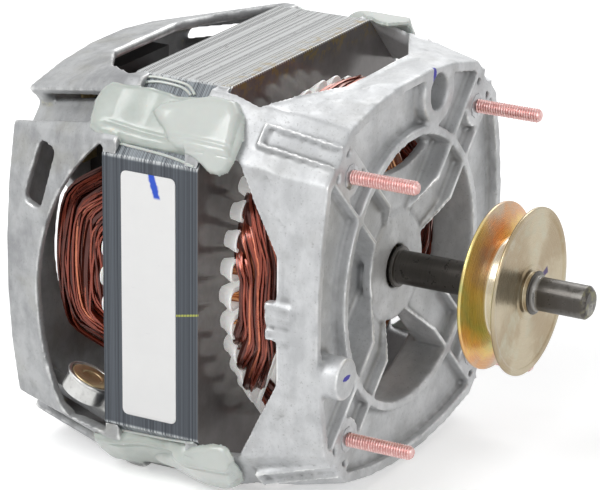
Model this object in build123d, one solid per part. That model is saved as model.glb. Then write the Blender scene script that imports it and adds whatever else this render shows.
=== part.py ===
from build123d import *
import math
import os

# Open-frame induction motor with a belt pulley, in millimetres.
# +X runs along the shaft towards the pulley and +Z is up. The origin is the centre of the
# four mounting studs, on the plane where they leave the front shield.

# Mounting studs
stud_spacing = 101.6
stud_radius = 2.745
stud_exposed = 27.0
stud_rooted = 9.0
hole_clearance = 0.05
flats = 8
press_clearance = 0.02
push_nut_radius = 5.2
push_nut_thickness = 0.8
stud_thread_start = 1.0

# Stator core: a square stack with cut corners, a round bore and open slots
core_setback = 48.0
core_length = 40.5
core_half_width = 77.5
core_corner = 92.0
bore_radius = 41.0
slot_count = 36
tooth_tip = 2.0
slot_bottom_radius = 60.5
slot_top_width = 3.6
slot_bottom_width = 6.4
slot_mouth = 2.2
liner_thickness = 0.4
liner_clearance = 0.1
liner_cuff = 4.6

# Windings
main_wire_radius = 1.2
main_leg_insets = [3.5, 5.0]
main_bend = 4.8
main_front_overhangs = [16.0, 25.0]
main_rear_overhangs = [18.0, 29.0]
main_half_spans = [20.0, 40.0]
start_wire_radius = 0.8
wire_sides = 6
start_leg_inset = 5.0
start_bend = 4.0
start_overhang = 9.0
start_half_span = 35.0
lead_riser_height = 61.0
lead_turn_height = 34.0

# Front shield
shield_wall = 4.0
shield_lap = 4.0
shield_lug = 6.0
lug_clearance = 0.2
front_draw_middle = 2.0
front_draw_end = 9.1
front_half = 51.6
front_corner_draw = 10.0
floor_depth = 4.5
plate_thickness = 4.0
ring_inner = 51.0
ring_outer = 54.5
spoke_half = 8.5
rib_thickness = 1.5
rib_slope_radius = 34.5
hub_radius = 21.0
hub_setback = 6.8
hub_thickness = 4.0
barrel_radius = 17.0
front_barrel_length = 24.2
shaft_hole_radius = 8.2
top_web_depth = 8.0
side_web_depth = 14.0
web_thickness = 4.0
lens_radius = 49.5
lens_inner = 37.0
lens_middle_angle = 87.5
lens_half_angle = 29.5
stud_boss_radius = 8.4
stud_boss_floor = 3.0
root_overlap = 2.0
seat_floor = 0.6
stud_root_sides = 8
side_boss_radius = 8.0
side_boss_inset = 11.5
side_boss_z = -20.5
side_boss_front = 7.5
side_boss_rear = -16.0
hole_boss_radius = 12.5
hole_boss_y = 18.8
hole_boss_inset = 13.0
hole_boss_rear = -16.0
hole_radius = 7.0
hole_depth = 11.0
arch_limit = 57.0
front_arch_apex = 17.0
front_arch_apex_half = 25.0
front_arch_knee = 28.4
front_arch_knee_half = 47.5
front_arch_foot = 33.5
corner_rib_half = 4.85
corner_rib_rear = 28.3
corner_rib_inset = 0.5
corner_channel_depth = 2.9
tab_front = 11.0
tab_rear = 21.5
tab_half = 7.2
tab_stand = 1.0
tab_notch = 1.1
tab_notch_depth = 1.2
rib_root = 10.0
ridge_depth = 5.0

# Rear shield
rear_depth = 47.0
rear_draw_middle = 6.0
rear_draw_end = 12.7
rear_half = 53.5
rear_rib_height = 3.0
rear_arch_radius = 66.0
rear_arch_centre = -55.0
wide_arch_apex = 32.5
wide_arch_shoulder = 11.5
wide_arch_shoulder_z = 33.0
wide_arch_middle_z = -5.0
wide_arch_hollow = 2.0
wide_arch_hollow_z = -28.0
wide_arch_foot = 8.5
wide_arch_nick = 4.0
corner_groove_half = 6.4
corner_groove_deep = 72.8
corner_groove_shallow = 84.0
corner_groove_length = 38.0
band_slot_width = 8.6
band_slot_length = 25.0
band_slot_inset = 15.8
band_slot_z = 37.5
band_slot_tilt = 16.0
band_slot_round = 2.4
rear_barrel_length = 13.0
rear_window_radius = 48.0
rear_skin_half = 8.9
cutter_bite = 1.2
cutter_over = 10.0
rear_cap_radius = 15.0
cap_gauge = 1.0
cap_depth = 3.4

# Cement beads on the core's corners
cement_half = 14.0
cement_seat = 0.1
cement_edge = 1.2
cement_crown = 3.6

# Shaft, rotor and pulley
shaft_radius = 6.45
shaft_tip_radius = 6.35
shaft_shoulder = 0.5
shaft_rear_chamfer = 0.8
shaft_front = 73.1
shaft_rear_inset = 5.5
shaft_flat = 6.0
shaft_chamfer = 1.4
shaft_body_radius = 8.0
shaft_step_inset = 2.5
shaft_body_reach = 11.0
running_clearance = 0.05
air_gap = 0.4
cage_inset = 3.4
cage_width = 8.2
cage_ring = 6.0
fan_blades = 8
fan_blade_length = 5.5
fan_blade_thickness = 2.4
fan_blade_inset = 1.2
bar_count = 12
rotor_sides = 36
bar_width = 3.4
bar_inset = 0.6
bar_height = 5.1
pulley_sides = 60
pulley_radius = 31.75
pulley_groove_radius = 19.0
pulley_rear = 34.0
pulley_width = 14.7
pulley_rim = 1.2
pulley_bottom_width = 5.0
pulley_nose_radius = 7.6
pulley_nose = 1.6

# Bearings
bearing_ball_radius = 11.1
bearing_half_length = 6.2
bearing_waist = 3.4
bearing_recess = 1.0
seat_clearance = 0.1
felt_thickness = 3.0
felt_clearance = 1.4
retainer_thickness = 0.8
retainer_inner = 9.4
washer_radius = 8.8
washer_thickness = 1.4
end_play = 0.3
slinger_radius = 14.0
slinger_thickness = 1.0
slinger_gap = 2.2

# Centrifugal governor
governor_plate_half = 24.0
governor_plate_width = 19.0
governor_plate_thickness = 1.5
ear_length = 8.2
ear_thickness = 1.5
ear_half_gap = 7.4
ear_half_width = 2.8
weight_pivot_radius = 20.0
weight_pivot_offset = 6.5
weight_pin_radius = 1.2
weight_pin_over = 0.5
weight_hub_radius = 2.3
weight_step = 0.5
weight_half = 7.1
wing_low = 23.4
wing_top = 29.0
wing_half = 16.5
arm_thickness = 1.4
arm_tip_radius = 10.6
arm_half = 3.0
spool_sleeve_radius = 8.0
spool_flange_radius = 12.2
spool_groove = 3.0
spool_flange = 2.0
spool_gap = 4.0
spring_radius = 1.5
spring_offset = 14.5
spring_plate_gap = 0.8

# Starting switch, on the inside of the rear shield's upper web
switch_low = 22.0
switch_high = 64.0
switch_half = 23.0
switch_thickness = 7.5
lever_pivot_z = 36.0
lever_pin_radius = 1.2
lever_hub_radius = 2.4
lever_half = 4.0
lever_thickness = 1.4
lever_tip_z = 9.6
lever_gap = 0.3
lever_lug_half = 1.2
lever_lug_height = 2.2
terminal_width = 6.3
terminal_thickness = 0.8
terminal_length = 9.0
terminal_first = 8.0
terminal_setback = 2.0
terminal_pitch = 12.0
screw_radius = 1.9
screw_head = 1.8
switch_screw_inset = 5.0

# Thermal protector, in the lower corner of the left rear arch
protector_setback = 11.0
protector_inset = 9.3
protector_z = -40.0
protector_tilt_y = 25.0
protector_tilt_x = -12.0
protector_radius = 9.0
protector_height = 8.0
protector_rim = 1.0
protector_lid = 1.8
protector_wall = 0.8

# Bare plate in the label's place
plate_setback = 9.4
plate_width = 23.0
plate_half_height = 47.6
plate_gauge = 0.3

# Positions that follow from the sizes above
core_front = -core_setback
core_rear = core_front - core_length
slot_top_radius = bore_radius + tooth_tip
main_leg_radii = [slot_bottom_radius - inset for inset in main_leg_insets]
start_leg_radius = slot_top_radius + start_leg_inset
shield_corner = core_corner + shield_lap
front_mid = core_half_width - front_draw_middle
front_end = core_half_width - front_draw_end
front_corner = shield_corner - front_corner_draw
corner_rib_height = shield_corner - corner_rib_inset
side_boss_y = side_boss_inset - core_half_width
hole_boss_z = core_half_width - hole_boss_inset
rear_mid = core_half_width - rear_draw_middle
rear_end = core_half_width - rear_draw_end
rear_face = core_rear - rear_depth
rear_floor = rear_face + rear_rib_height
rear_inside = rear_floor + plate_thickness
band_slot_x = rear_face + band_slot_inset
cutter_start = rear_end - shield_wall + cutter_bite
cutter_depth = core_half_width - cutter_start + cutter_over
front_barrel_end = hub_setback + front_barrel_length
rear_barrel_end = -rear_inside - rear_barrel_length
stud_half = stud_spacing / 2
stud_diagonal = stud_half * math.sqrt(2)
rotor_radius = bore_radius - air_gap
cage_outer = rotor_radius - cage_inset
cage_inner = cage_outer - cage_width
bar_outer = cage_outer - bar_inset
bar_inner = bar_outer - bar_height
shaft_rear = -rear_face - shaft_rear_inset
shaft_body_front = front_barrel_end - shaft_step_inset
shaft_body_rear = shaft_body_reach - core_rear
slinger_rear = front_barrel_end + slinger_gap + slinger_thickness
pulley_front = pulley_rear + pulley_width
pulley_middle = (pulley_rear + pulley_front) / 2
bearing_bore = shaft_radius + running_clearance
bearing_seat = bearing_ball_radius + seat_clearance
front_bearing_x = -hub_setback - hub_thickness - felt_thickness - bearing_half_length
rear_bearing_x = -rear_barrel_end - bearing_recess - bearing_half_length
governor_plate_rear = -shaft_body_rear
pivot_x = governor_plate_rear - weight_pivot_offset
spool_front = governor_plate_rear - spool_gap
spool_rear = spool_front - 2 * spool_flange - spool_groove
switch_front = rear_inside + switch_thickness
switch_screw_y = switch_half - switch_screw_inset
switch_middle = (switch_low + switch_high) / 2
protector_x = core_rear - protector_setback
protector_y = protector_inset - core_half_width
OUT = "parts"


def at(x):
    """Plane square to the shaft, with its own x along +Y and its own y along +Z."""
    return Plane.YZ.offset(x)


def slab(sketch, x_low, x_high):
    """A flat sketch, drawn across the shaft, carried from one X to another."""
    return extrude(at(x_low) * sketch, amount=x_high - x_low)


def tube(outer, inner, x_low, x_high):
    """A ring round the shaft."""
    return slab(Circle(outer) - Circle(inner), x_low, x_high)


def many(apothem, sides):
    """A many-sided outline that just clears a circle of the given radius."""
    return RegularPolygon(apothem, sides, major_radius=False)


def prism(radius, sides, x_low, x_high, y=0.0, z=0.0):
    """A many-sided bar along the shaft's direction."""
    return slab(Pos(y, z) * RegularPolygon(radius, sides), x_low, x_high)


def polar(x, radius, degrees):
    """Point at an angle round the shaft, measured from +Y towards +Z."""
    a = math.radians(degrees)
    return (x, radius * math.cos(a), radius * math.sin(a))


def spun(sides, *points):
    """A turned body drawn with flats, from the (x, radius) points of its outside."""
    rings = []
    for x, radius in points:
        rings.append([polar(x, radius, 360.0 / sides * k) for k in range(sides)])
    faces = [make_face(Polyline(*rings[0], close=True)), make_face(Polyline(*rings[-1], close=True))]
    for low, high in zip(rings, rings[1:]):
        for k in range(sides):
            faces.append(make_face(Polyline(low[k - 1], low[k], high[k], high[k - 1], close=True)))
    return Solid(Shell(faces))


def rod(radius, x_low, x_high, y=0.0, z=0.0):
    """A round bar along the shaft's direction."""
    return slab(Pos(y, z) * Circle(radius), x_low, x_high)


def turned(*points):
    """A body turned round the shaft from an outline of (x, radius) points."""
    return revolve(make_face(Polyline(*points, close=True)), Axis.X)


def web(points, half, offset=0.0):
    """A plate lying along a radius: (x, radius) outline, half thickness, sideways offset."""
    outline = make_face(Polyline(*points, close=True))
    return Pos(0, 0, offset) * extrude(outline, amount=half, both=True)


def brick(x_low, x_high, y_low, y_high, z_low, z_high):
    """A plain block between two corners."""
    size = (x_high - x_low, y_high - y_low, z_high - z_low)
    middle = ((x_low + x_high) / 2, (y_low + y_high) / 2, (z_low + z_high) / 2)
    return Pos(*middle) * Box(*size)


def turn(shape, degrees):
    """The shape turned about the shaft."""
    return Rot(X=degrees) * shape


def four(shape, first=0.0):
    """Four copies a quarter turn apart."""
    return [turn(shape, first + 90.0 * k) for k in range(4)]


def write(name, shape):
    """Save one named sub-part."""
    solids = shape if isinstance(shape, list) else shape.solids()
    body = solids[0] if len(solids) == 1 else Compound(children=list(solids))
    body.label = name
    export_step(body, f"{OUT}/{name}.step")


def outline(end, half):
    """Square with cut corners: (end, half) is where a side stops."""
    points = []
    for k in range(4):
        c = math.cos(math.radians(90.0 * k))
        s = math.sin(math.radians(90.0 * k))
        for across in (-half, half):
            points.append((end * c - across * s, end * s + across * c))
    return make_face(Polyline(*points, close=True))


def corner_stop(half_width, corner):
    """How far a flat side runs each way before the cut corner."""
    return corner * math.sqrt(2) - half_width


def cup(x_face, mid, end, half, inset=0.0):
    """Tapered block from the core's face to a shield's own face, where its sides are bowed.

    mid is the middle of a bowed side and (end, half) is where it stops. Each side is five
    flats and each corner one, and all are drawn in by the inset.
    """
    x_core = core_front if x_face > core_front else core_rear
    reach = shield_corner
    body = brick(min(x_face, x_core), max(x_face, x_core), -reach, reach, -reach, reach)
    stop = corner_stop(core_half_width, shield_corner)
    low = Vector(x_core, core_half_width, -stop)
    high = Vector(x_core, core_half_width, stop)
    shares = [(2 * k - 5) / 5 for k in range(6)]
    bow = [Vector(x_face, mid - (mid - end) * share ** 2, half * share) for share in shares]
    sides = [(bow[0], bow[1], low), (bow[1], bow[2], low), (bow[2], bow[3], low), (bow[3], bow[4], high),
             (bow[4], bow[5], high), (bow[5], high, Vector(x_core, stop, core_half_width))]
    for a, b, c in sides:
        normal = (b - a).cross(c - a).normalized()
        if normal.Y < 0:
            normal = normal * -1
        flat = Plane(origin=a - normal * inset, z_dir=normal)
        for _ in range(4):
            body = turn(split(body, bisect_by=flat, keep=Keep.BOTTOM), 90)
    return body


def front_cup(inset=0.0):
    """Tapered block of the front shield."""
    return cup(0.0, front_mid, front_end, front_half, inset)


def rear_cup(inset=0.0):
    """Tapered block of the rear shield."""
    return cup(rear_face, rear_mid, rear_end, rear_half, inset)


def lug_ring(x_low, x_high):
    """Corner lugs that lap over the core's cut corners."""
    outside = outline(core_half_width, corner_stop(core_half_width, shield_corner))
    flat = core_half_width + lug_clearance
    inside = outline(flat, corner_stop(flat, core_corner + lug_clearance))
    return slab(outside - inside, x_low, x_high)


def side_cut(points, degrees):
    """Cutter through one side wall: (x, across) outline, pushed out along that side's radius."""
    across = Plane(origin=(0, cutter_start, 0), x_dir=(1, 0, 0), z_dir=(0, 1, 0))
    flipped = mirror(make_face(Polyline(*points, close=True)), Plane.XZ)
    return turn(extrude(across * flipped, amount=cutter_depth), degrees)


def front_arch_points():
    """Front arch outline, open towards the core."""
    knee = (-front_arch_knee, front_arch_knee_half)
    foot = (-front_arch_foot, arch_limit)
    apex = (-front_arch_apex, front_arch_apex_half)
    back = core_front - shield_lug - 4.0
    return [(back, -foot[1]), (foot[0], -foot[1]), (knee[0], -knee[1]), (apex[0], -apex[1]),
            apex, knee, foot, (back, foot[1])]


def front_shield():
    """Die-cast front end shield."""
    reach = shield_corner + 1
    back = -floor_depth - plate_thickness
    outer = front_cup()
    inner = front_cup(shield_wall)
    behind = brick(core_front - 1, back, -reach, reach, -reach, reach)
    ahead = brick(-floor_depth, 1, -reach, reach, -reach, reach)
    body = outer - (inner & behind) - (inner & ahead)
    body = body - rod(ring_inner, core_front, 1)
    # ring rib, which runs on inwards as the wall of the well
    body = body + tube(ring_outer, ring_inner, -side_web_depth - web_thickness, 0)
    # spokes: a sloping floor between two thin ribs that run on to the corners
    deep = -side_web_depth
    root = barrel_radius - root_overlap
    rib = web([(-hub_setback, hub_radius - rib_thickness), (0, rib_slope_radius), (0, front_corner),
               (back, front_corner), (back, ring_outer), (deep, ring_inner), (deep, barrel_radius + rib_root),
               (-hub_setback - hub_thickness, root)], rib_thickness / 2)
    floor = web([(-floor_depth, ring_outer), (-floor_depth, rib_slope_radius - root_overlap),
                 (-hub_setback - root_overlap, hub_radius - root_overlap),
                 (-hub_setback - hub_thickness - root_overlap, root), (back, ring_outer)], spoke_half)
    spoke = floor
    for side in (-1, 1):
        spoke = spoke + Pos(0, 0, side * (spoke_half - rib_thickness / 2)) * rib
    boss = prism(stud_boss_radius, 2 * flats, -stud_rooted - stud_boss_floor, 0, stud_diagonal, 0)
    spoke = spoke + boss
    for arm in four(spoke, 45.0):
        body = body + (arm & outer)
    # webs that close the upper and the left sector
    wedge = make_face(Polyline((0, 0), (reach, reach), (-reach, reach), close=True))
    sector = (Circle(ring_inner + 1) - Circle(root)) & wedge
    body = body + slab(sector, -top_web_depth - web_thickness, -top_web_depth)
    body = body + turn(slab(sector, -side_web_depth - web_thickness, -side_web_depth), 90)
    # hub and bearing barrel
    body = body + rod(hub_radius, -hub_setback - hub_thickness, -hub_setback)
    body = body + prism(barrel_radius, 3 * flats, -front_barrel_end, -hub_setback - 1)
    body = body - rod(shaft_hole_radius, core_front, 1)
    body = body - rod(bearing_seat, -front_barrel_end - 1, -hub_setback - hub_thickness + seat_floor)
    # lens-shaped upper window
    right = polar(0, lens_radius, lens_middle_angle - lens_half_angle)[1:]
    left = polar(0, lens_radius, lens_middle_angle + lens_half_angle)[1:]
    top = polar(0, lens_radius, lens_middle_angle)[1:]
    bottom = polar(0, lens_inner, lens_middle_angle)[1:]
    lens = make_face([ThreePointArc(right, top, left), ThreePointArc(left, bottom, right)])
    strip = Rectangle(4 * reach, 2 * spoke_half)
    lens = lens - Rot(Z=45) * strip - Rot(Z=-45) * strip
    body = body - slab(lens, core_front, 1)
    # bosses
    body = body + rod(side_boss_radius, side_boss_rear, side_boss_front, side_boss_y, side_boss_z)
    body = body + (rod(hole_boss_radius, hole_boss_rear, 0, hole_boss_y, hole_boss_z) & outer)
    body = body - rod(hole_radius, -hole_depth, 1, hole_boss_y, hole_boss_z)
    # corner ribs with the channel between them
    top_line = [(-corner_rib_rear, corner_rib_height), (0, front_corner)]
    ridge = web([*top_line, (0, front_corner - ridge_depth),
                 (-corner_rib_rear, corner_rib_height - 2 * ridge_depth)], corner_rib_half)
    stop = -corner_rib_rear + rib_thickness
    groove = web([(stop, corner_rib_height + 2), (2, front_corner + 2),
                  (2, front_corner - corner_channel_depth), (stop, corner_rib_height - corner_channel_depth)],
                 corner_rib_half - rib_thickness)
    for k in range(4):
        body = body + turn(ridge, 45 + 90 * k)
        body = body - turn(groove, 45 + 90 * k)
    # side arches
    for k in range(4):
        body = body - side_cut(front_arch_points(), 90 * k)
    # notched tab on the left side
    tab_y = -front_mid - tab_stand
    tab = brick(-tab_rear, -tab_front, tab_y, tab_y + shield_wall, -tab_half, tab_half)
    for z in (-tab_half / 3, tab_half / 2):
        tab = tab - brick(-tab_rear - 1, -tab_front + 1, tab_y - 1, tab_y + tab_notch_depth,
                          z - tab_notch, z + tab_notch)
    body = body + tab
    body = body + lug_ring(core_front - shield_lug, core_front)
    # holes for the studs' knurled roots
    hole = prism(stud_radius + hole_clearance, stud_root_sides, -stud_rooted - hole_clearance, 1,
                 stud_diagonal, 0)
    for k in range(4):
        body = body - turn(hole, 45 + 90 * k)
    return body


def rear_shield():
    """Die-cast rear end shield."""
    reach = shield_corner + 1
    outer = rear_cup()
    inner = rear_cup(shield_wall)
    ahead = brick(rear_inside, core_rear + 1, -reach, reach, -reach, reach)
    behind = brick(rear_face - 1, rear_floor, -reach, reach, -reach, reach)
    body = outer - (inner & ahead) - (inner & behind)
    rib = web([(rear_face, hub_radius - 2), (rear_face, front_corner), (rear_inside, front_corner),
               (rear_inside, hub_radius - 2)], rib_thickness / 2)
    for k in range(4):
        for side in (-1, 1):
            strut = Pos(0, 0, side * (spoke_half - rib_thickness / 2)) * rib
            body = body + (turn(strut, 45 + 90 * k) & outer)
    # windows to the left, right and below; the upper sector carries the switch
    strip = Rectangle(4 * reach, 2 * spoke_half)
    sector = Circle(rear_window_radius) - Circle(hub_radius + 1) - Rot(Z=45) * strip - Rot(Z=-45) * strip
    sector = sector & make_face(Polyline((0, 0), (reach, reach), (reach, -reach), close=True))
    for degrees in (0, 180, 270):
        body = body - slab(Rot(Z=degrees) * sector, rear_face - 1, rear_inside + 1)
    # hub and bearing barrel
    body = body + rod(hub_radius, rear_face, rear_inside)
    body = body + prism(barrel_radius, 3 * flats, rear_floor, -rear_barrel_end)
    body = body - rod(bearing_seat, rear_face - 1, -rear_barrel_end + 1)
    body = body - rod(rear_cap_radius + hole_clearance, rear_face - 1, rear_face + cap_depth + hole_clearance)
    # corner channels
    far = rear_face + corner_groove_length
    groove = web([(rear_face - 1, corner_groove_deep), (far, corner_groove_shallow), (far, reach),
                  (rear_face - 1, reach)], corner_groove_half)
    skin = web([(rear_face, corner_groove_deep - shield_wall), (rear_face, corner_groove_deep + 1),
                (far, corner_groove_shallow + 1), (far, corner_groove_shallow - shield_wall)], rear_skin_half)
    for k in range(4):
        body = body + (turn(skin, 45 + 90 * k) & outer)
        body = body - turn(groove, 45 + 90 * k)
    # round arches; the left one is wider at its lower end, where the protector sits
    back = core_rear + shield_lug + 2.0
    angles = [math.radians(a) for a in (-60, -40, -20, 20, 40, 60)]
    curve = []
    for a in angles:
        curve.append((rear_arch_centre - rear_arch_radius * math.cos(a), rear_arch_radius * math.sin(a)))
    round_arch = [(back, -arch_limit), *curve, (back, arch_limit)]
    apex = core_rear - wide_arch_apex
    foot = arch_limit - wide_arch_nick
    wide_arch = make_face([
        Line((back, arch_limit), (core_rear, arch_limit)),
        ThreePointArc((core_rear, arch_limit), (apex + wide_arch_shoulder, wide_arch_shoulder_z),
                      (apex, wide_arch_middle_z)),
        ThreePointArc((apex, wide_arch_middle_z), (apex + wide_arch_hollow, wide_arch_hollow_z),
                      (apex + wide_arch_foot, -foot)),
        Line((apex + wide_arch_foot, -foot), (apex + wide_arch_foot + wide_arch_nick, -arch_limit)),
        Line((apex + wide_arch_foot + wide_arch_nick, -arch_limit), (back, -arch_limit)),
        Line((back, -arch_limit), (back, arch_limit))])
    for degrees in (0, 90, 270):
        body = body - side_cut(round_arch, degrees)
    left = Plane(origin=(0, -cutter_start, 0), x_dir=(1, 0, 0), z_dir=(0, -1, 0))
    body = body - extrude(left * wide_arch, amount=cutter_depth)
    # slot in the left band
    opening = fillet(Rectangle(band_slot_width, band_slot_length).vertices(), band_slot_round)
    opening = Pos(band_slot_x, band_slot_z) * Rot(Z=-band_slot_tilt) * opening
    body = body - extrude(left * opening, amount=cutter_depth)
    body = body + lug_ring(core_rear, core_rear + shield_lug)
    # screw holes for the switch
    for side in (-1, 1):
        body = body - prism(screw_radius + hole_clearance, flats, rear_floor - 1, rear_inside + 1,
                            side * switch_screw_y, switch_middle)
    return body


def slot_half(radius):
    """Half the slot's width at a radius."""
    share = (radius - slot_top_radius) / (slot_bottom_radius - slot_top_radius)
    return (slot_top_width + (slot_bottom_width - slot_top_width) * share) / 2


def stator_core():
    """Lamination stack with its slots opening into the bore."""
    sheet = outline(core_half_width, corner_stop(core_half_width, core_corner)) - Circle(bore_radius)
    low = slot_half(slot_top_radius)
    high = slot_half(slot_bottom_radius)
    mouth = slot_mouth / 2
    slot = make_face(Polyline((bore_radius - 1, -mouth), (slot_top_radius, -low), (slot_bottom_radius, -high),
                              (slot_bottom_radius, high), (slot_top_radius, low), (bore_radius - 1, mouth),
                              close=True))
    cuts = [Rot(Z=360.0 / slot_count * k) * slot for k in range(slot_count)]
    return slab(sheet - cuts, core_rear, core_front)


def slot_liners():
    """One folded liner for each slot, standing out of both core faces."""
    top = slot_top_radius + 0.6
    bottom = slot_bottom_radius - liner_clearance
    outer_low = slot_half(top) - liner_clearance
    outer_high = slot_half(bottom) - liner_clearance
    t = liner_thickness
    inner_low = outer_low - t
    inner_high = outer_high - t
    fold = make_face(Polyline((top, outer_low), (bottom, outer_high), (bottom, -outer_high),
                              (top, -outer_low), (top, -inner_low), (bottom - t, -inner_high),
                              (bottom - t, inner_high), (top, inner_low), close=True))
    liner = slab(fold, core_rear - liner_cuff, core_front + liner_cuff)
    return [turn(liner, 360.0 / slot_count * k) for k in range(slot_count)]


def wound(points, bend, radius):
    """Wire along straight runs joined by quarter turns, with its section and its path."""
    path = FilletPolyline(*points, radius=bend)
    section = Plane(origin=path @ 0, z_dir=path % 0) * RegularPolygon(radius, wire_sides)
    return sweep(section, path=path), section, path


def least_gap(path, radius):
    """Least distance between stretches of one wire that aren't neighbours, less its thickness."""
    step = 2.0
    count = int(path.length / step)
    points = [path @ (k / count) for k in range(count + 1)]
    skip = int(10 * radius / step) + 3
    least = 1e9
    for i, p in enumerate(points):
        for q in points[i + skip:]:
            apart = (p.X - q.X) ** 2 + (p.Y - q.Y) ** 2 + (p.Z - q.Z) ** 2
            if apart < least:
                least = apart
    return math.sqrt(least) - 2 * radius


def main_winding_points():
    """Route of the running winding: nested coils at each of the four poles."""
    points = [polar(switch_front + hole_clearance, main_leg_radii[0], 90 - main_half_spans[0])]
    last = len(main_half_spans) - 1
    for index, pole in enumerate((90.0, 180.0, 270.0, 360.0)):
        # coils are laid from the inside out at one pole and from the outside in at the next
        order = list(range(last + 1)) if index % 2 == 0 else list(range(last, -1, -1))
        for step, coil in enumerate(order):
            radius = main_leg_radii[coil]
            first = pole - main_half_spans[coil]
            second = pole + main_half_spans[coil]
            front = core_front + main_front_overhangs[coil]
            if len(points) > 1:
                points.append(polar(points[-1][0], radius, first))
            points.append(polar(front, radius, first))
            points.append(polar(front, radius, second))
            overhang = main_rear_overhangs[last]
            if step < last:
                overhang = main_rear_overhangs[min(coil, order[step + 1])]
            points.append(polar(core_rear - overhang, radius, second))
    # the last leg runs on past the overhang, turns up and ends square on the switch's side
    lead_x = (switch_front + rear_inside) / 2
    y, z = points[-1][1:]
    points[-1] = (lead_x, y, z)
    points.append((lead_x, y, lead_turn_height))
    points.append((lead_x, switch_half + hole_clearance, lead_turn_height))
    return points


def start_winding_points():
    """Route of the starting winding: one coil at each pole, between the running poles."""
    base = switch_front + hole_clearance
    front = core_front + start_overhang
    rear = core_rear - start_overhang
    first_slot = 90 - (45 - start_half_span)
    y, z = polar(0, start_leg_radius, first_slot)[1:]
    points = [(base, y, lead_riser_height), (rear, y, lead_riser_height), (rear, y, z)]
    for index, pole in enumerate((45.0, -45.0, -135.0, -225.0)):
        high = pole + start_half_span
        low = pole - start_half_span
        if index:
            points.append(polar(rear, start_leg_radius, high))
        points.append(polar(front, start_leg_radius, high))
        points.append(polar(front, start_leg_radius, low))
        points.append(polar(rear, start_leg_radius, low))
    points.append((rear, -y, lead_riser_height))
    points.append((base, -y, lead_riser_height))
    return points


def windings():
    """Both windings, each one unbroken wire."""
    made = []
    for name, points, bend, radius in (
            ("main_winding", main_winding_points(), main_bend, main_wire_radius),
            ("start_winding", start_winding_points(), start_bend, start_wire_radius)):
        solid, section, path = wound(points, bend, radius)
        print(name, "length", round(path.length, 1), "volume over section times length",
              round(solid.volume / (section.area * path.length), 4),
              "least gap to itself", round(least_gap(path, radius), 2))
        made.append(solid)
    return made


def corner_cement():
    """Four beads that bond the shields' lugs and the core's cut corners."""
    low = core_corner + cement_seat
    shoulder = cement_half - cement_edge / 2
    bead = make_face([
        Line((low, -cement_half), (low, cement_half)),
        Line((low, cement_half), (low + cement_edge, shoulder)),
        ThreePointArc((low + cement_edge, shoulder), (low + cement_crown, 0), (low + cement_edge, -shoulder)),
        Line((low + cement_edge, -shoulder), (low, -cement_half))])
    return four(slab(bead, core_rear + shield_lug + cement_seat, core_front - shield_lug - cement_seat), 45.0)


def mounting_studs():
    """Four studs with knurled roots that reach through the bosses and the push nuts."""
    stud = prism(stud_radius, stud_root_sides, -stud_rooted, stud_thread_start)
    stud = stud + rod(stud_radius, stud_thread_start, stud_exposed)
    return four(Pos(0, stud_diagonal, 0) * stud, 45.0)


def stud_push_nuts():
    """Four rings pushed over the studs down to the shield's face."""
    ring = RegularPolygon(push_nut_radius, 2 * flats) - many(stud_radius + hole_clearance, flats)
    nut = slab(ring, 0, push_nut_thickness)
    return four(Pos(0, stud_diagonal, 0) * nut, 45.0)


def shaft():
    """Shaft with a thicker middle and, ahead of the pulley, a smaller tip with two flats."""
    shoulder = pulley_front + pulley_nose + shaft_shoulder
    tip_rear = shoulder + shaft_shoulder
    tip_chamfer_radius = shaft_tip_radius - shaft_chamfer
    body = turned((-shaft_rear, 0), (-shaft_rear, shaft_radius - shaft_rear_chamfer),
                  (-shaft_rear + shaft_rear_chamfer, shaft_radius),
                  (-shaft_body_rear, shaft_radius), (-shaft_body_rear, shaft_body_radius),
                  (-shaft_body_front, shaft_body_radius), (-shaft_body_front, shaft_radius),
                  (shoulder, shaft_radius), (tip_rear, shaft_tip_radius),
                  (shaft_front - shaft_chamfer, shaft_tip_radius), (shaft_front, tip_chamfer_radius),
                  (shaft_front, 0))
    flat = brick(tip_rear, shaft_front + 1, shaft_flat, shaft_radius + 1, -shaft_body_radius,
                 shaft_body_radius)
    for degrees in (0, 180):
        body = body - turn(flat, degrees)
    return body


def rotor_core():
    """Rotor lamination stack with its bar slots."""
    sheet = RegularPolygon(rotor_radius, rotor_sides) - many(shaft_body_radius + press_clearance, 2 * flats)
    bar = Pos((bar_inner + bar_outer) / 2, 0) * Rectangle(bar_outer - bar_inner, bar_width)
    bars = [Rot(Z=360.0 / bar_count * k) * bar for k in range(bar_count)]
    return slab(sheet - bars, core_rear, core_front)


def rotor_cage():
    """Cast cage: bars, an end ring at each face and blades on the rings."""
    middle = Pos((bar_inner + bar_outer) / 2, 0)
    bar = middle * Rectangle(bar_outer - bar_inner - press_clearance, bar_width - press_clearance)
    ring = RegularPolygon(cage_outer, rotor_sides) - RegularPolygon(cage_inner, rotor_sides)
    body = slab(ring, core_front, core_front + cage_ring) + slab(ring, core_rear - cage_ring, core_rear)
    for k in range(bar_count):
        body = body + slab(Rot(Z=360.0 / bar_count * k) * bar, core_rear - 0.5, core_front + 0.5)
    blade = Rectangle(cage_outer - cage_inner - fan_blade_inset, fan_blade_thickness)
    blade = Pos((cage_inner + cage_outer) / 2, 0) * blade
    for k in range(fan_blades):
        place = Rot(Z=360.0 / fan_blades * k) * blade
        body = body + slab(place, core_front + cage_ring - 0.5, core_front + cage_ring + fan_blade_length)
        body = body + slab(place, core_rear - cage_ring - fan_blade_length, core_rear - cage_ring + 0.5)
    return body


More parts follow.
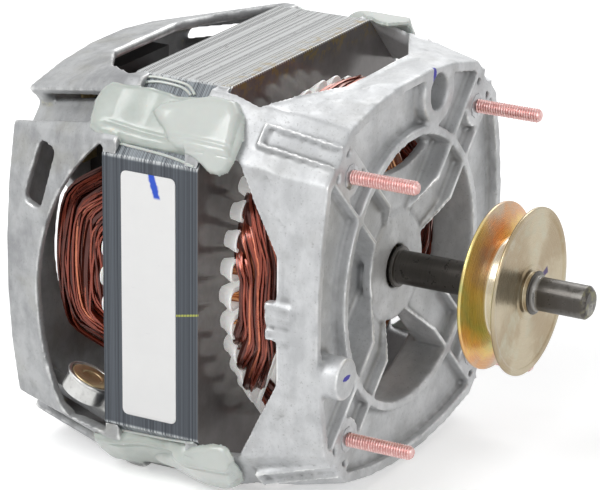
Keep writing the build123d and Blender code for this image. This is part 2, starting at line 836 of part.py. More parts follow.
def pulley():
    """Turned pulley with one V groove."""
    half = pulley_bottom_width / 2
    body = spun(pulley_sides, (pulley_rear, pulley_radius), (pulley_rear + pulley_rim, pulley_radius),
                (pulley_middle - half, pulley_groove_radius), (pulley_middle + half, pulley_groove_radius),
                (pulley_front - pulley_rim, pulley_radius), (pulley_front, pulley_radius))
    body = body + prism(pulley_nose_radius, pulley_sides // 2, pulley_front, pulley_front + pulley_nose)
    return body - rod(shaft_radius + press_clearance, pulley_rear - 1, pulley_front + pulley_nose + 1)


def bearing(centre):
    """Self-aligning sleeve bearing, barrel-shaped outside."""
    low = centre - bearing_half_length
    high = centre + bearing_half_length
    end_radius = math.sqrt(bearing_ball_radius ** 2 - bearing_half_length ** 2)
    body = spun(2 * flats, (low, end_radius), (centre - bearing_waist, bearing_ball_radius),
                (centre + bearing_waist, bearing_ball_radius), (high, end_radius))
    return body - rod(bearing_bore, low - 1, high + 1)


def felt(x_low):
    """Cut oil felt between the bearing and the end of its housing."""
    outside = RegularPolygon(bearing_seat - seat_clearance, flats)
    hole = RegularPolygon(shaft_radius + felt_clearance, flats)
    return slab(outside - hole, x_low, x_low + felt_thickness)


def retainer(x_low):
    """Push-in spring ring with eight claws that holds the bearing in its seat."""
    outside = RegularPolygon(bearing_seat - hole_clearance, 2 * flats)
    return slab(outside - RegularPolygon(retainer_inner, flats), x_low, x_low + retainer_thickness)


def thrust_washer(x_low):
    """Washer on the shaft beside a bearing."""
    face = RegularPolygon(washer_radius, 2 * flats) - many(bearing_bore, 2 * flats)
    return slab(face, x_low, x_low + washer_thickness)


def rear_bearing_cap():
    """Pressed cup that closes the rear bearing housing."""
    inner = rear_cap_radius - cap_gauge
    body = prism(rear_cap_radius, 3 * flats, rear_face, rear_face + cap_depth)
    return body - prism(inner, 3 * flats, rear_face + cap_gauge, rear_face + cap_depth + 1)


def oil_slinger():
    """Disc on the shaft inside the front shield."""
    disc = RegularPolygon(slinger_radius, 2 * flats) - many(shaft_body_radius + press_clearance, 2 * flats)
    return slab(disc, -slinger_rear, slinger_thickness - slinger_rear)


def governor_plate():
    """Stamped strip pressed on the shaft, with four ears that carry the weights' pins."""
    front = governor_plate_rear + governor_plate_thickness
    strip = Rectangle(2 * governor_plate_half, governor_plate_width)
    strip = strip - many(shaft_body_radius + press_clearance, 2 * flats)
    body = slab(strip, governor_plate_rear, front)
    ear = brick(governor_plate_rear - ear_length, front, weight_pivot_radius - ear_half_width,
                weight_pivot_radius + ear_half_width, ear_half_gap, ear_half_gap + ear_thickness)
    hole = extrude(many(weight_pin_radius + press_clearance, flats), amount=2 * ear_half_gap, both=True)
    for degrees in (0, 180):
        for flank in (ear, mirror(ear, Plane.XY)):
            body = body + turn(flank, degrees)
        body = body - turn(Pos(pivot_x, weight_pivot_radius, 0) * hole, degrees)
    return body


def weight_pins():
    """Pivot pins of the two weights."""
    reach = ear_half_gap + ear_thickness + weight_pin_over
    pin = extrude(Circle(weight_pin_radius), amount=reach, both=True)
    pin = Pos(pivot_x, weight_pivot_radius, 0) * pin
    return [pin, turn(pin, 180)]


def governor_weight(degrees):
    """Bell-crank weight: hub on the pin, mass towards the plate, arm into the spool's groove."""
    pivot = Pos(pivot_x, weight_pivot_radius, 0)
    hub = pivot * extrude(RegularPolygon(weight_hub_radius, flats), amount=weight_half, both=True)
    near = governor_plate_rear - spring_plate_gap
    far = pivot_x + weight_step
    mass = brick(far, near, weight_pivot_radius, wing_top, -weight_half, weight_half)
    mass = mass + brick(far, near, wing_low, wing_top, -wing_half, wing_half)
    middle = spool_front - spool_flange - spool_groove / 2
    arm = brick(middle - arm_thickness / 2, middle + arm_thickness / 2, arm_tip_radius, weight_pivot_radius,
                -arm_half, arm_half)
    body = hub + mass + arm
    hole = extrude(Circle(weight_pin_radius + running_clearance), amount=2 * weight_half, both=True)
    return turn(body - pivot * hole, degrees)


def governor_spool():
    """Moulded spool that slides on the shaft."""
    body = prism(spool_sleeve_radius, 2 * flats, spool_rear, spool_front)
    for x in (spool_rear, spool_front - spool_flange):
        body = body + prism(spool_flange_radius, 3 * flats, x, x + spool_flange)
    return body - slab(many(shaft_radius + running_clearance, 2 * flats), spool_rear - 1, spool_front + 1)


def governor_springs():
    """Two tension springs, as closed coils, that pull the weights together."""
    section = Plane.XZ * RegularPolygon(spring_radius, flats)
    coil = extrude(section, amount=wing_low - press_clearance, both=True)
    x = governor_plate_rear - spring_plate_gap - spring_radius
    return [Pos(x, 0, side * spring_offset) * coil for side in (-1, 1)]


def lever():
    """Switch lever: hub on its pin and a bent arm to the spool's rear face."""
    tip_x = spool_rear - lever_gap - lever_thickness
    pivot = lever_pivot_x()
    place = Pos(pivot, 0, lever_pivot_z)
    hub = place * extrude(Plane.XZ * RegularPolygon(lever_hub_radius, flats), amount=lever_half, both=True)
    front = tip_x + lever_thickness
    top = lever_pivot_z + lever_thickness / 2
    arm = brick(tip_x, front, -lever_half, lever_half, lever_tip_z, top)
    bridge = brick(pivot, front, -lever_half, lever_half, top - lever_thickness, top)
    hole = Plane.XZ * Circle(lever_pin_radius + running_clearance)
    return hub + arm + bridge - place * extrude(hole, amount=2 * lever_half, both=True)


def lever_pivot_x():
    """Where the switch lever turns, just clear of the switch body."""
    return switch_front + lever_hub_radius + lever_gap


def switch_base():
    """Moulded switch body with two lugs that carry the lever's pin."""
    body = brick(rear_inside, switch_front, -switch_half, switch_half, switch_low, switch_high)
    pivot = lever_pivot_x()
    for side in (-1, 1):
        lug = brick(switch_front, pivot + lever_hub_radius, -lever_lug_half, lever_lug_half,
                    lever_pivot_z - lever_lug_height, lever_pivot_z + lever_lug_height)
        body = body + Pos(0, side * (lever_half + lever_gap + lever_lug_half), 0) * lug
        body = body - prism(screw_radius + hole_clearance, flats, rear_inside - 1, switch_front + 1,
                            side * switch_screw_y, switch_middle)
    hole = Plane.XZ * many(lever_pin_radius + press_clearance, flats)
    return body - Pos(pivot, 0, lever_pivot_z) * extrude(hole, amount=switch_half, both=True)


def lever_pin():
    """Pin through the switch's lugs."""
    reach = lever_half + lever_gap + 2 * lever_lug_half
    pin = extrude(Plane.XZ * Circle(lever_pin_radius), amount=reach, both=True)
    return Pos(lever_pivot_x(), 0, lever_pivot_z) * pin


def switch_terminals():
    """Three blades that stand out of the switch's left edge."""
    blades = []
    for k in range(3):
        z = switch_low + terminal_first + terminal_pitch * k
        x = rear_inside + terminal_setback
        blades.append(brick(x, x + terminal_thickness, -switch_half - terminal_length, -switch_half,
                            z, z + terminal_width))
    return blades


def switch_screws():
    """Two hexagon-headed screws from inside, through the switch into the shield."""
    head = RegularPolygon(2 * screw_radius, 6)
    screws = []
    for side in (-1, 1):
        body = prism(screw_radius, flats, rear_floor, switch_front)
        body = body + slab(head, switch_front, switch_front + screw_head)
        screws.append(Pos(0, side * switch_screw_y, switch_middle) * body)
    return screws


def protector_place():
    """Where the thermal protector sits and how it leans."""
    return Pos(protector_x, protector_y, protector_z) * Rot(protector_tilt_x, protector_tilt_y, 0)


def protector_can():
    """Drawn can with a rolled rim, open side up."""
    sides = 3 * flats
    r = protector_radius
    body = extrude(Plane.XY.offset(-protector_height) * RegularPolygon(r, sides), amount=protector_height)
    rim = Plane.XY.offset(-protector_rim) * RegularPolygon(r + protector_rim, sides)
    body = body + extrude(rim, amount=protector_rim)
    hollow = Plane.XY.offset(-protector_lid) * RegularPolygon(r - protector_wall, sides)
    return protector_place() * (body - extrude(hollow, amount=protector_lid + 1))


def protector_base():
    """Moulded disc that closes the can."""
    disc = RegularPolygon(protector_radius - protector_wall - press_clearance, 3 * flats)
    return protector_place() * extrude(Plane.XY.offset(-protector_lid) * disc, amount=protector_lid)


def blank_plate():
    """Bare plate in the label's place."""
    front = core_front - plate_setback
    return brick(front - plate_width, front, -core_half_width - plate_gauge, -core_half_width,
                 -plate_half_height, plate_half_height)


def main():
    os.makedirs(OUT, exist_ok=True)
    write("front_shield", front_shield())
    write("rear_shield", rear_shield())
    write("stator_core", stator_core())
    write("slot_liners", slot_liners())
    main_coil, start_coil = windings()
    write("main_winding", main_coil)
    write("start_winding", start_coil)
    write("corner_cement", corner_cement())
    write("mounting_studs", mounting_studs())
    write("stud_push_nuts", stud_push_nuts())
    write("blank_plate", blank_plate())
    write("protector_can", protector_can())
    write("protector_base", protector_base())
    write("sleeve_bearings", [bearing(front_bearing_x), bearing(rear_bearing_x)])
    reach = bearing_half_length + hole_clearance
    write("bearing_felts", [felt(front_bearing_x + reach), felt(rear_bearing_x - reach - felt_thickness)])
    write("bearing_retainers", [retainer(front_bearing_x - reach - retainer_thickness),
                                retainer(rear_bearing_x + reach)])
    write("rear_bearing_cap", rear_bearing_cap())
    write("thrust_washers", [thrust_washer(-shaft_body_front), thrust_washer(-rear_barrel_end + end_play)])
    write("oil_slinger", oil_slinger())
    write("shaft", shaft())
    write("rotor_core", rotor_core())
    write("rotor_cage", rotor_cage())
    write("pulley", pulley())
    write("governor_plate", governor_plate())
    write("weight_pins", weight_pins())
    write("governor_weight_a", governor_weight(0))
    write("governor_weight_b", governor_weight(180))
    write("governor_spool", governor_spool())
    write("governor_springs", governor_springs())
    write("switch_base", switch_base())
    write("switch_lever", lever())
    write("lever_pin", lever_pin())
    write("switch_terminals", switch_terminals())
    write("switch_screws", switch_screws())


main()
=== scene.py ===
import math

import bmesh
import bpy
import numpy as np
from mathutils import Matrix, Vector


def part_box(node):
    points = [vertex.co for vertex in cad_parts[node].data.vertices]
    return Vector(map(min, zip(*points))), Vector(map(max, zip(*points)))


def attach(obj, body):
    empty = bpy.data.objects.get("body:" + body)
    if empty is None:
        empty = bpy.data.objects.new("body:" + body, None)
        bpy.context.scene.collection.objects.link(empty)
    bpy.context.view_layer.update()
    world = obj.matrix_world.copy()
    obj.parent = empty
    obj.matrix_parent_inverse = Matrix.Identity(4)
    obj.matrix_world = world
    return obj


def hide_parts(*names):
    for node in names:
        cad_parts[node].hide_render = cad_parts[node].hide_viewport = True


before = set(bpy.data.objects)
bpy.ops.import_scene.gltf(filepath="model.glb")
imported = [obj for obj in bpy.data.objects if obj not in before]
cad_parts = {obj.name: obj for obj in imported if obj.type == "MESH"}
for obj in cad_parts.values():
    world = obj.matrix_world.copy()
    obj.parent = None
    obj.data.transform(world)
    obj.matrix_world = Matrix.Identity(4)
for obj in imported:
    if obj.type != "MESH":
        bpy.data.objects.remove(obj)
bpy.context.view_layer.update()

bl_info = {
    "name": "Open-frame belt motor",
    "version": (1, 0, 0),
    "blender": (4, 5, 0),
    "location": "3D View > Sidebar > Motor",
    "description": "Builds the looks of an open-frame motor round its packed CAD frame",
    "category": "Object",
}

MM = 0.001
# Faces of the frame that pieces are set against, in millimetres
CORE_FRONT, CORE_REAR, CORE_HALF = -48.0, -88.5, 77.5
# Where the flat sides end at the core's cut corners and at the castings' lugs, 92 and 96 out on the diagonal
CORNER_STOP = 92.0 * math.sqrt(2) - CORE_HALF
LUG_STOP = 96.0 * math.sqrt(2) - CORE_HALF
SHAFT_RADIUS = 6.45
STUD_OFFSET = 50.8
PLATE_FACE = -77.8
# Thickness of a sheet in the core's stack, and the slots round its bore
SHEET = 0.65
SLOTS = 36
# Height of the floor in metres, and the most triangles that a casting keeps
FLOOR_HEIGHT = -0.0776
CASTING_TRIANGLES = 190000
# Upper end of the random phases, in radians, and the turn from one wire of a bundle to the next
PHASES = 6.28
GOLDEN_ANGLE = 2.39996
# Height of the cement's skin outside its borders, where it lies in the metal
SUNK = -1.0


# ---------------------------------------------------------------- meshes


class Shells:
    """Grids of points, gathered in millimetres and joined as one mesh in metres."""

    def __init__(self):
        self.points, self.quads, self.polygons, self.tones = [], [], [], []
        self.count = 0

    def add(self, grids, wrap_u=False, tone=0.5):
        """Grids of shape (pieces, u, v, 3). Neighbours in u and v make quads; v closes on itself, and so
        does u, or else the first and last ring get a flat cap each. Faces are turned so that the volume
        comes out positive."""
        grids = np.asarray(grids, float)
        if grids.ndim == 3:
            grids = grids[None]
        pieces, nu, nv = grids.shape[:3]
        index = np.arange(pieces * nu * nv).reshape(pieces, nu, nv)
        ring = np.concatenate([index, index[:, :1]], 1) if wrap_u else index
        quads = quads_of(np.concatenate([ring, ring[:, :, :1]], 2)).reshape(-1, 4)
        ends = [] if wrap_u else [row[::-1] for row in index[:, -1]] + list(index[:, 0])
        flat = grids.reshape(-1, 3)
        centre = flat.mean(0)
        a, b, c, d = (flat[quads[:, k]] - centre for k in range(4))
        volume = np.einsum("ij,ij->i", np.cross(c - a, d - b), (a + b + c + d) / 4).sum()
        for end in ends:
            p = flat[end] - centre
            volume += np.cross(p, np.roll(p, -1, 0)).sum(0) @ p.mean(0)
        if volume < 0:
            quads = quads[:, ::-1]
            ends = [end[::-1] for end in ends]
        self.points.append(flat)
        self.quads.append(quads + self.count)
        self.polygons += [end + self.count for end in ends]
        tones = np.broadcast_to(np.asarray(tone, float).reshape(-1, 1), (pieces, nu * nv))
        self.tones.append(tones.reshape(-1))
        self.count += len(flat)

    def slab(self, upper, lower, keep, tone):
        """Two grids (u, v, 3) that face each other, upper outermost. Only the quads of keep are made, and
        where they end the lower grid's points are laid on the upper ones, so merging closes the rim."""
        inner = quads_of(np.pad(keep, 1)).all(-1)
        flat, below = upper.reshape(-1, 3), np.where(inner[..., None], lower, upper).reshape(-1, 3)
        quads = quads_of(np.arange(len(flat)).reshape(inner.shape))[keep]
        a, b, c, d = (flat[quads[:, k]] for k in range(4))
        gap = (flat - below)[quads].sum(1)
        if np.einsum("ij,ij->i", np.cross(c - a, d - b), gap).sum() < 0:
            quads = quads[:, ::-1]
        under = (quads + len(flat))[:, ::-1]
        used, quads = np.unique(np.concatenate([quads, under]), return_inverse=True)
        self.points.append(np.concatenate([flat, below])[used])
        self.quads.append(quads.reshape(-1, 4) + self.count)
        self.tones.append(np.concatenate([tone.reshape(-1)] * 2)[used])
        self.count += len(used)

    def made(self, name, merge=False):
        """The gathered shells as one smooth-shaded object at the origin."""
        mesh = bpy.data.meshes.new(name)
        faces = np.concatenate(self.quads).tolist() + [end.tolist() for end in self.polygons]
        mesh.from_pydata(np.concatenate(self.points) * MM, [], faces)
        store(mesh.attributes.new("tone", "FLOAT", "POINT").data, "value", np.concatenate(self.tones))
        if merge:
            work = bmesh.new()
            work.from_mesh(mesh)
            bmesh.ops.remove_doubles(work, verts=work.verts, dist=1e-7)
            bmesh.ops.dissolve_degenerate(work, edges=work.edges, dist=1e-8)
            bmesh.ops.recalc_face_normals(work, faces=work.faces)
            work.to_mesh(mesh)
            work.free()
        mesh.validate()
        piece = placed(name, mesh)
        soften(piece)
        return piece


def placed(name, data):
    """A new object in the scene."""
    made = bpy.data.objects.new(name, data)
    bpy.context.scene.collection.objects.link(made)
    return made


def shell(name, grids, wrap_u=True, merge=False):
    """One object made of a single grid."""
    shells = Shells()
    shells.add(grids, wrap_u)
    return shells.made(name, merge)


def quads_of(grid):
    """The four corners of each cell of a grid's last two axes."""
    return np.stack([grid[..., :-1, :-1], grid[..., 1:, :-1], grid[..., 1:, 1:], grid[..., :-1, 1:]], -1)


def store(items, key, values):
    """Writes a value on each of a mesh's items."""
    items.foreach_set(key, values.astype(np.float32).reshape(-1))


def read(items, key, width, kind=np.float32):
    """A value of each of a mesh's items, width numbers to a row."""
    values = np.zeros(len(items) * width, kind)
    items.foreach_get(key, values)
    return values.reshape(-1, width)


def soften(piece, degrees=38.0):
    """Smooth shading, with edges sharper than the angle kept crisp."""
    piece.data.polygons.foreach_set("use_smooth", np.ones(len(piece.data.polygons), bool))
    piece.data.set_sharp_from_angle(angle=math.radians(degrees))


def settle(piece, body, material, node):
    """Rides the piece on its body, gives its finish and hides the node it stands for."""
    piece.data.materials.clear()
    piece.data.materials.append(finish(material))
    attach(piece, body)
    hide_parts(node)


def unit(v):
    """Vectors at length one."""
    return v / np.maximum(np.linalg.norm(v, axis=-1, keepdims=True), 1e-12)


def round_angles(sides):
    """Angles once round, in radians."""
    return np.linspace(0, math.tau, sides, endpoint=False)


def polar(x, radius, a):
    """Points (x, radius cos a, radius sin a) round the shaft, the angle a from +Y towards +Z."""
    return np.stack(np.broadcast_arrays(x, radius * np.cos(a), radius * np.sin(a)), -1)


def spun(x, y, z, a):
    """Points turned about the shaft's line by the angle a."""
    c, s = np.cos(a), np.sin(a)
    return np.stack(np.broadcast_arrays(x, y * c - z * s, y * s + z * c), -1)


def lathe(points, blend, sides):
    """A closed (x, radius) outline with its corners blended, carried round the shaft."""
    profile = rounded(points, blend, steps=3)
    return polar(profile[:, :1], np.maximum(profile[:, 1:], 0.0), round_angles(sides))


def rounded(points, radius, steps=4, closed=True):
    """A polygon with each corner replaced by a quadratic blend that starts one radius before it:
    p = (1-t)^2 a + 2t(1-t) corner + t^2 b."""
    points = np.asarray(points, float)
    ends = []
    for side in (np.roll(points, 1, 0) - points, np.roll(points, -1, 0) - points):
        reach = np.minimum(radius, 0.48 * np.linalg.norm(side, axis=1))[:, None]
        ends.append((points + unit(side) * reach)[:, None])
    a, b = ends
    t = np.linspace(0, 1, steps + 1)[None, :, None]
    blend = (1 - t) ** 2 * a + 2 * t * (1 - t) * points[:, None] + t ** 2 * b
    if not closed:
        blend[0] = points[0]
        blend[-1] = points[-1]
    return blend.reshape(-1, points.shape[1])


def carried(paths, radius, sides):
    """Round tubes: at each path point a ring p + r (cos f n + sin f b), n square to the path and to the
    direction away from the shaft, b square to both. paths has shape (wires, steps, 3)."""
    along = unit(np.gradient(paths, axis=1))
    away = paths * np.array([0.0, 1.0, 1.0])
    n = unit(np.cross(along, unit(away + 1e-9)))
    b = np.cross(along, n)
    f = round_angles(sides)[:, None]
    return paths[:, :, None] + radius * (np.cos(f) * n[:, :, None] + np.sin(f) * b[:, :, None])


def resampled(paths, steps):
    """Paths with their points spread evenly by arc length."""
    made = []
    for path in paths:
        s = np.concatenate([[0], np.cumsum(np.linalg.norm(np.diff(path, axis=0), axis=1))])
        at = np.linspace(0, s[-1], steps)
        made.append(np.stack([np.interp(at, s, path[:, k]) for k in range(path.shape[1])], -1))
    return np.array(made)


def waves(x, y, z, scale, seed, octaves):
    """Smooth noise: a sum of sines whose directions and phases come from the seed, each octave twice as
    fine and 1.6 times lower."""
    rng = np.random.default_rng(seed)
    total = np.zeros(np.broadcast(x, y, z).shape)
    for k in range(octaves):
        for _ in range(4):
            d = rng.normal(size=3)
            d *= scale * 2 ** k / np.linalg.norm(d)
            total = total + np.sin(d[0] * x + d[1] * y + d[2] * z + rng.uniform(0, PHASES)) / (4 * 1.6 ** k)
    return total


# ---------------------------------------------------------------- shading


class Value:
    """A socket of a shader tree, in millimetres where it is a place. Sums and mixes of values make the
    nodes that work them out; with a tuple they work axis by axis."""

    def __init__(self, tree, socket):
        self.tree, self.socket = tree, socket

    def math(self, operation, *others):
        kind = "VectorMath" if any(isinstance(other, tuple) for other in others) else "Math"
        return node(self.tree, kind, dict(enumerate((self, *others))), operation=operation)

    def __add__(self, other):
        return self.math("ADD", other)

    def __sub__(self, other):
        return self.math("SUBTRACT", other)

    def __rsub__(self, other):
        return node(self.tree, "Math", {0: other, 1: self}, operation="SUBTRACT")

    def __mul__(self, other):
        return self.math("MULTIPLY", other)

    def __abs__(self):
        return self.math("ABSOLUTE")

    def parts(self):
        """The place's x, y and z."""
        return list(node(self.tree, "SeparateXYZ", {0: self}, None).values())

    def stored(self, name):
        """A value stored on the mesh."""
        return node(self.tree, "Attribute", out="Fac", attribute_name=name)

    def noise(self, scale, detail, rough):
        """Fractal noise at this place, 0 to 1."""
        return node(self.tree, "TexNoise", {"Vector": self, "Scale": scale, "Detail": detail, "Roughness": rough})

    def span(self, low, high, to_low=0.0, to_high=1.0, kind="SMOOTHSTEP"):
        """Mapped from one range to another, clamped."""
        return node(self.tree, "MapRange", {0: self, 1: low, 2: high, 3: to_low, 4: to_high},
                    interpolation_type=kind)

    def tint(self, a, b):
        """Two colours mixed by this share."""
        a, b = (c if isinstance(c, Value) else (*c, 1.0) for c in (a, b))
        return node(self.tree, "Mix", {0: self, 6: a, 7: b}, 2, data_type="RGBA")

    def bump(self, strength, distance):
        """Normals from this height."""
        return node(self.tree, "Bump", {"Height": self, "Strength": strength, "Distance": distance})


def layered(base, *layers):
    """Colours laid over one another, each as (share, colour)."""
    for share, colour in layers:
        base = share.tint(base, colour)
    return base


def node(tree, kind, inputs=(), out=0, **settings):
    """A shader node with its settings, constants and links: one of its outputs, or all by name for None."""
    made = tree.nodes.new("ShaderNode" + kind)
    for key, value in settings.items():
        setattr(made, key, value)
    for key, value in dict(inputs).items():
        if isinstance(value, Value):
            tree.links.new(value.socket, made.inputs[key])
        else:
            made.inputs[key].default_value = value
    values = {socket.name: Value(tree, socket) for socket in made.outputs}
    return values if out is None else Value(tree, made.outputs[out])


def grouped(name, build, **inputs):
    """A node group placed in a material, made once: build(given) takes and gives its values by name."""
    made = bpy.data.node_groups.get(name)
    if not made:
        made = bpy.data.node_groups.new(name, "ShaderNodeTree")
        for key in inputs:
            kind = "NodeSocketVector" if key == "Place" else "NodeSocketFloat"
            made.interface.new_socket(key, in_out="INPUT", socket_type=kind)
        source = made.nodes.new("NodeGroupInput")
        results = build({socket.name: Value(made, socket) for socket in source.outputs})
        for key in results:
            made.interface.new_socket(key, in_out="OUTPUT", socket_type="NodeSocketFloat")
        sink = made.nodes.new("NodeGroupOutput")
        for key, value in results.items():
            made.links.new(value.socket, sink.inputs[key])
    return node(inputs["Place"].tree, "Group", inputs, None, node_tree=made)


def cast_skin(place):
    """Die-cast skin: broad mottling, flow streaks, fine pits and lighter convex edges that are rubbed wear and a
    painted highlight.
    """

    def build(given):
        place = given["Place"]
        patch = (place * (1.0, 0.6, 0.6)).noise(0.16, 5.0, 0.65)
        pits = place.noise(1.1, 2.0, 0.5).span(0.60, 0.74)
        mottle = place.noise(0.035, 4.0, 0.6) * 0.5 + patch * 0.5
        # the edge share lightens convex edges: rubbed wear and a painted highlight
        return {"Mottle": mottle.span(0.36, 0.64), "Pits": pits,
                "Height": place.noise(2.2, 3.0, 0.7) * 0.55 - pits * 0.6,
                "RubAndHighlight": (given["Edge"] * (patch + 0.35)).span(0.32, 0.7)}

    return grouped("cast_skin", build, Place=place, Edge=place.stored("edge"))


def grime(place, scale):
    """Oil and dust: soft patches and short scratches."""

    def build(given):
        place = given["Place"]
        return {"Patch": place.noise(given["Scale"], 4.0, 0.6).span(0.48, 0.68),
                "Scratch": (place * (0.12, 2.4, 2.4)).noise(1.0, 2.0, 0.6).span(0.66, 0.72)}

    return grouped("grime", build, Place=place, Scale=scale)


def cast_aluminium(place, light, dark, stain, inks, residue):
    """As-cast aluminium, mottled, with lighter edges (rubbed wear and a painted highlight), hollows darkened as painted
    shade, a few stains and ink dabs. An ink dab is (centre, reach in mm). residue is how much yellow powder lies in the
    hollows."""
    skin = cast_skin(place)
    hollow = place.stored("hollow").span(0.10, 0.70)
    powder = place.noise(0.35, 4.0, 0.7).span(0.44, 0.60, 0.0, residue)
    # concave places are darkened as painted shade, and convex edges are lightened as rubbed wear with a painted
    # highlight
    base = layered(skin["Mottle"].tint(dark, light), (grime(place, 0.06)["Patch"] * 0.35, stain),
                   (skin["Pits"] * 0.3, (0.16, 0.16, 0.15)), (hollow * 0.6, (0.12, 0.12, 0.12)),
                   (powder * hollow, (0.70, 0.66, 0.40)), (skin["RubAndHighlight"] * 0.8, (0.84, 0.84, 0.83)))
    for centre, reach in inks:
        away = (place - centre) * tuple(1 / r for r in reach)
        far = node(place.tree, "VectorMath", {0: away}, 1, operation="LENGTH")
        ragged = far + place.noise(0.9, 2.0, 0.6) * 0.7
        base = ragged.span(1.15, 1.35, 1.0, 0.0).tint(base, (0.035, 0.025, 0.34))
    return {"Base Color": base, "Roughness": skin["Mottle"].span(0.0, 1.0, 0.52, 0.42) - skin["RubAndHighlight"] * 0.14,
            "Metallic": skin["RubAndHighlight"].span(0.0, 1.0, 0.42, 0.85), "Normal": skin["Height"].bump(0.35, 0.00025)}


def lamination_steel(place):
    """Stacked sheet edges, each sheet with its own tone. The sides are dark blue-grey varnish with worn,
    dotted corners; the top is lighter, a painted reflection of the bright surroundings, with real scratches,
    spots, dotted dark seams and rust near its front edge; the end face is smooth and brown-grey."""
    x, y, z = place.parts()
    sheet = x.math("DIVIDE", SHEET).math("FLOOR")
    tone, seam = (node(place.tree, "TexWhiteNoise", {"W": w}, noise_dimensions="1D") for w in (sheet, sheet + 0.37))
    wave = (x * (math.tau / SHEET)).math("SINE")
    shade = tone * 0.6 + wave.span(-0.2, 0.9) * 0.4
    top = z.span(76.6, 77.3)
    front = x.span(CORE_FRONT - 0.25, CORE_FRONT - 0.05)
    bend = CORE_HALF + CORNER_STOP
    corner = (abs(y) + abs(z)).span(bend - 1.2, bend - 0.6)
    # some joints between sheets are open, and show as dotted dark lines on the top
    dots = (y * 5.4 + tone * 9.0).math("SINE").span(-0.5, 0.3)
    spots = (place * (0.9, 0.25, 1.0)).noise(0.7, 4.0, 0.75)
    # the top's lighter colour is a painted reflection; its spots and open seams are real marks
    bright = layered(shade.tint((0.30, 0.31, 0.31), (0.56, 0.57, 0.57)),
                     (spots.span(0.58, 0.70, 0.0, 0.7), (0.12, 0.115, 0.11)),
                     (seam.span(0.44, 0.48) * dots * 0.92, (0.045, 0.045, 0.045)))
    end = place.noise(0.12, 4.0, 0.6).tint((0.11, 0.095, 0.09), (0.24, 0.225, 0.22))
    # rust and gold varnish along the front edge of the top
    rust = x.span(-58.0, -48.5) * z.span(68.0, 77.0) * place.noise(0.22, 4.0, 0.7).span(0.48, 0.62)
    # worn corners: a dotted bright line where the sides meet the cut corners and the top meets the end
    worn = [abs(abs(other) - CORNER_STOP).span(0.35, 0.75, 1.0, 0.0) * abs(side).span(76.6, 77.2)
            * shade.span(0.35, 0.6) for side, other in ((y, z), (z, y))]
    lip = x.span(-48.7, -48.4) * top * (y * 3.9).math("SINE").span(-0.2, 0.4)
    # a dotted crayon line on the plate side
    rise = (x + 57.5) * 0.2 - 4.7
    crayon = abs(z - rise).span(0.25, 0.55, 1.0, 0.0) * x.span(-57.6, -57.3)
    crayon = crayon * y.span(-77.3, -77.0, 1.0, 0.0) * wave.span(-0.3, 0.2)
    # the +z top takes the lighter colour, a painted reflection, under real scratches and rust
    base = layered(shade.tint((0.030, 0.036, 0.046), (0.115, 0.130, 0.150)),
                   (corner * shade, (0.30, 0.33, 0.35)), (top, bright),
                   (grime(place, 0.12)["Scratch"] * (top * 0.5), (0.80, 0.80, 0.78)), (front, end),
                   (rust * 0.8, (0.30, 0.22, 0.07)), *((line, (0.52, 0.54, 0.55)) for line in worn),
                   (lip, (0.70, 0.71, 0.70)), (crayon, (0.62, 0.66, 0.10)))
    return {"Base Color": base, "Normal": (wave * (1.0 - front)).bump(0.35, 0.00012),
            "Roughness": tone * 0.16 + 0.36 - front * 0.18}


def liner_film(place):
    """White folded film, faintly cloudy."""
    cloud = place.noise(0.8, 3.0, 0.6)
    return {"Base Color": cloud.tint((0.84, 0.84, 0.82), (0.95, 0.95, 0.94)), "Normal": cloud.bump(0.15, 0.0002)}


def enamelled_wire(place, dark, middle, bright):
    """Varnished enamel over copper. The tone stored on each wire sets how red or bright it is."""
    share = place.stored("tone") + (place.noise(0.35, 3.0, 0.6) - 0.5) * 0.5
    base = share.span(0.62, 1.0).tint(share.span(0.0, 0.6).tint(dark, middle), bright)
    drip = place.noise(0.2, 2.0, 0.5).span(0.60, 0.75)
    return {"Base Color": base, "Roughness": drip.span(0.0, 1.0, 0.30, 0.16),
            "Normal": place.noise(1.4, 2.0, 0.5).bump(0.12, 0.0002)}


def bonding_cement(place):
    """Glossy off-white compound with a green tinge and a few amber stains."""
    amber = place.noise(0.22, 3.0, 0.6).span(0.68, 0.80)
    base = layered(place.noise(0.12, 4.0, 0.6).tint((0.40, 0.45, 0.41), (0.60, 0.64, 0.60)),
                   (place.stored("tone") * 0.6, (0.72, 0.75, 0.72)), (amber * 0.55, (0.62, 0.47, 0.20)))
    return {"Base Color": base, "Normal": place.noise(0.5, 2.0, 0.5).bump(0.12, 0.0004)}


def copper_plate(place):
    """Thin copper plating on rolled threads, worn silvery on the crests."""
    wear = place.stored("tone") * place.noise(0.9, 3.0, 0.7).span(0.35, 0.65)
    return {"Base Color": wear.tint((0.62, 0.33, 0.31), (0.88, 0.70, 0.68)),
            "Normal": place.noise(3.0, 2.0, 0.5).bump(0.2, 0.0001)}


def sheet_steel(place, low, high, roughness):
    """Plain bright steel with a soft cloud and fine scratches."""
    patch = grime(place, 0.3)["Patch"]
    base = (patch * 0.35).tint(place.noise(0.4, 4.0, 0.6).tint(low, high), tuple(0.5 * c for c in low))
    return {"Base Color": base, "Roughness": patch.span(0.0, 1.0, roughness, roughness + 0.15),
            "Normal": (place * (1.0, 6.0, 1.0)).noise(1.5, 2.0, 0.6).bump(0.08, 0.0001)}


def moulded(place, low, high):
    """Moulded plastic or felt: a faint cloud and a fine grain."""
    return {"Base Color": place.noise(0.3, 4.0, 0.6).tint(low, high),
            "Normal": place.noise(4.0, 3.0, 0.7).bump(0.2, 0.0001)}


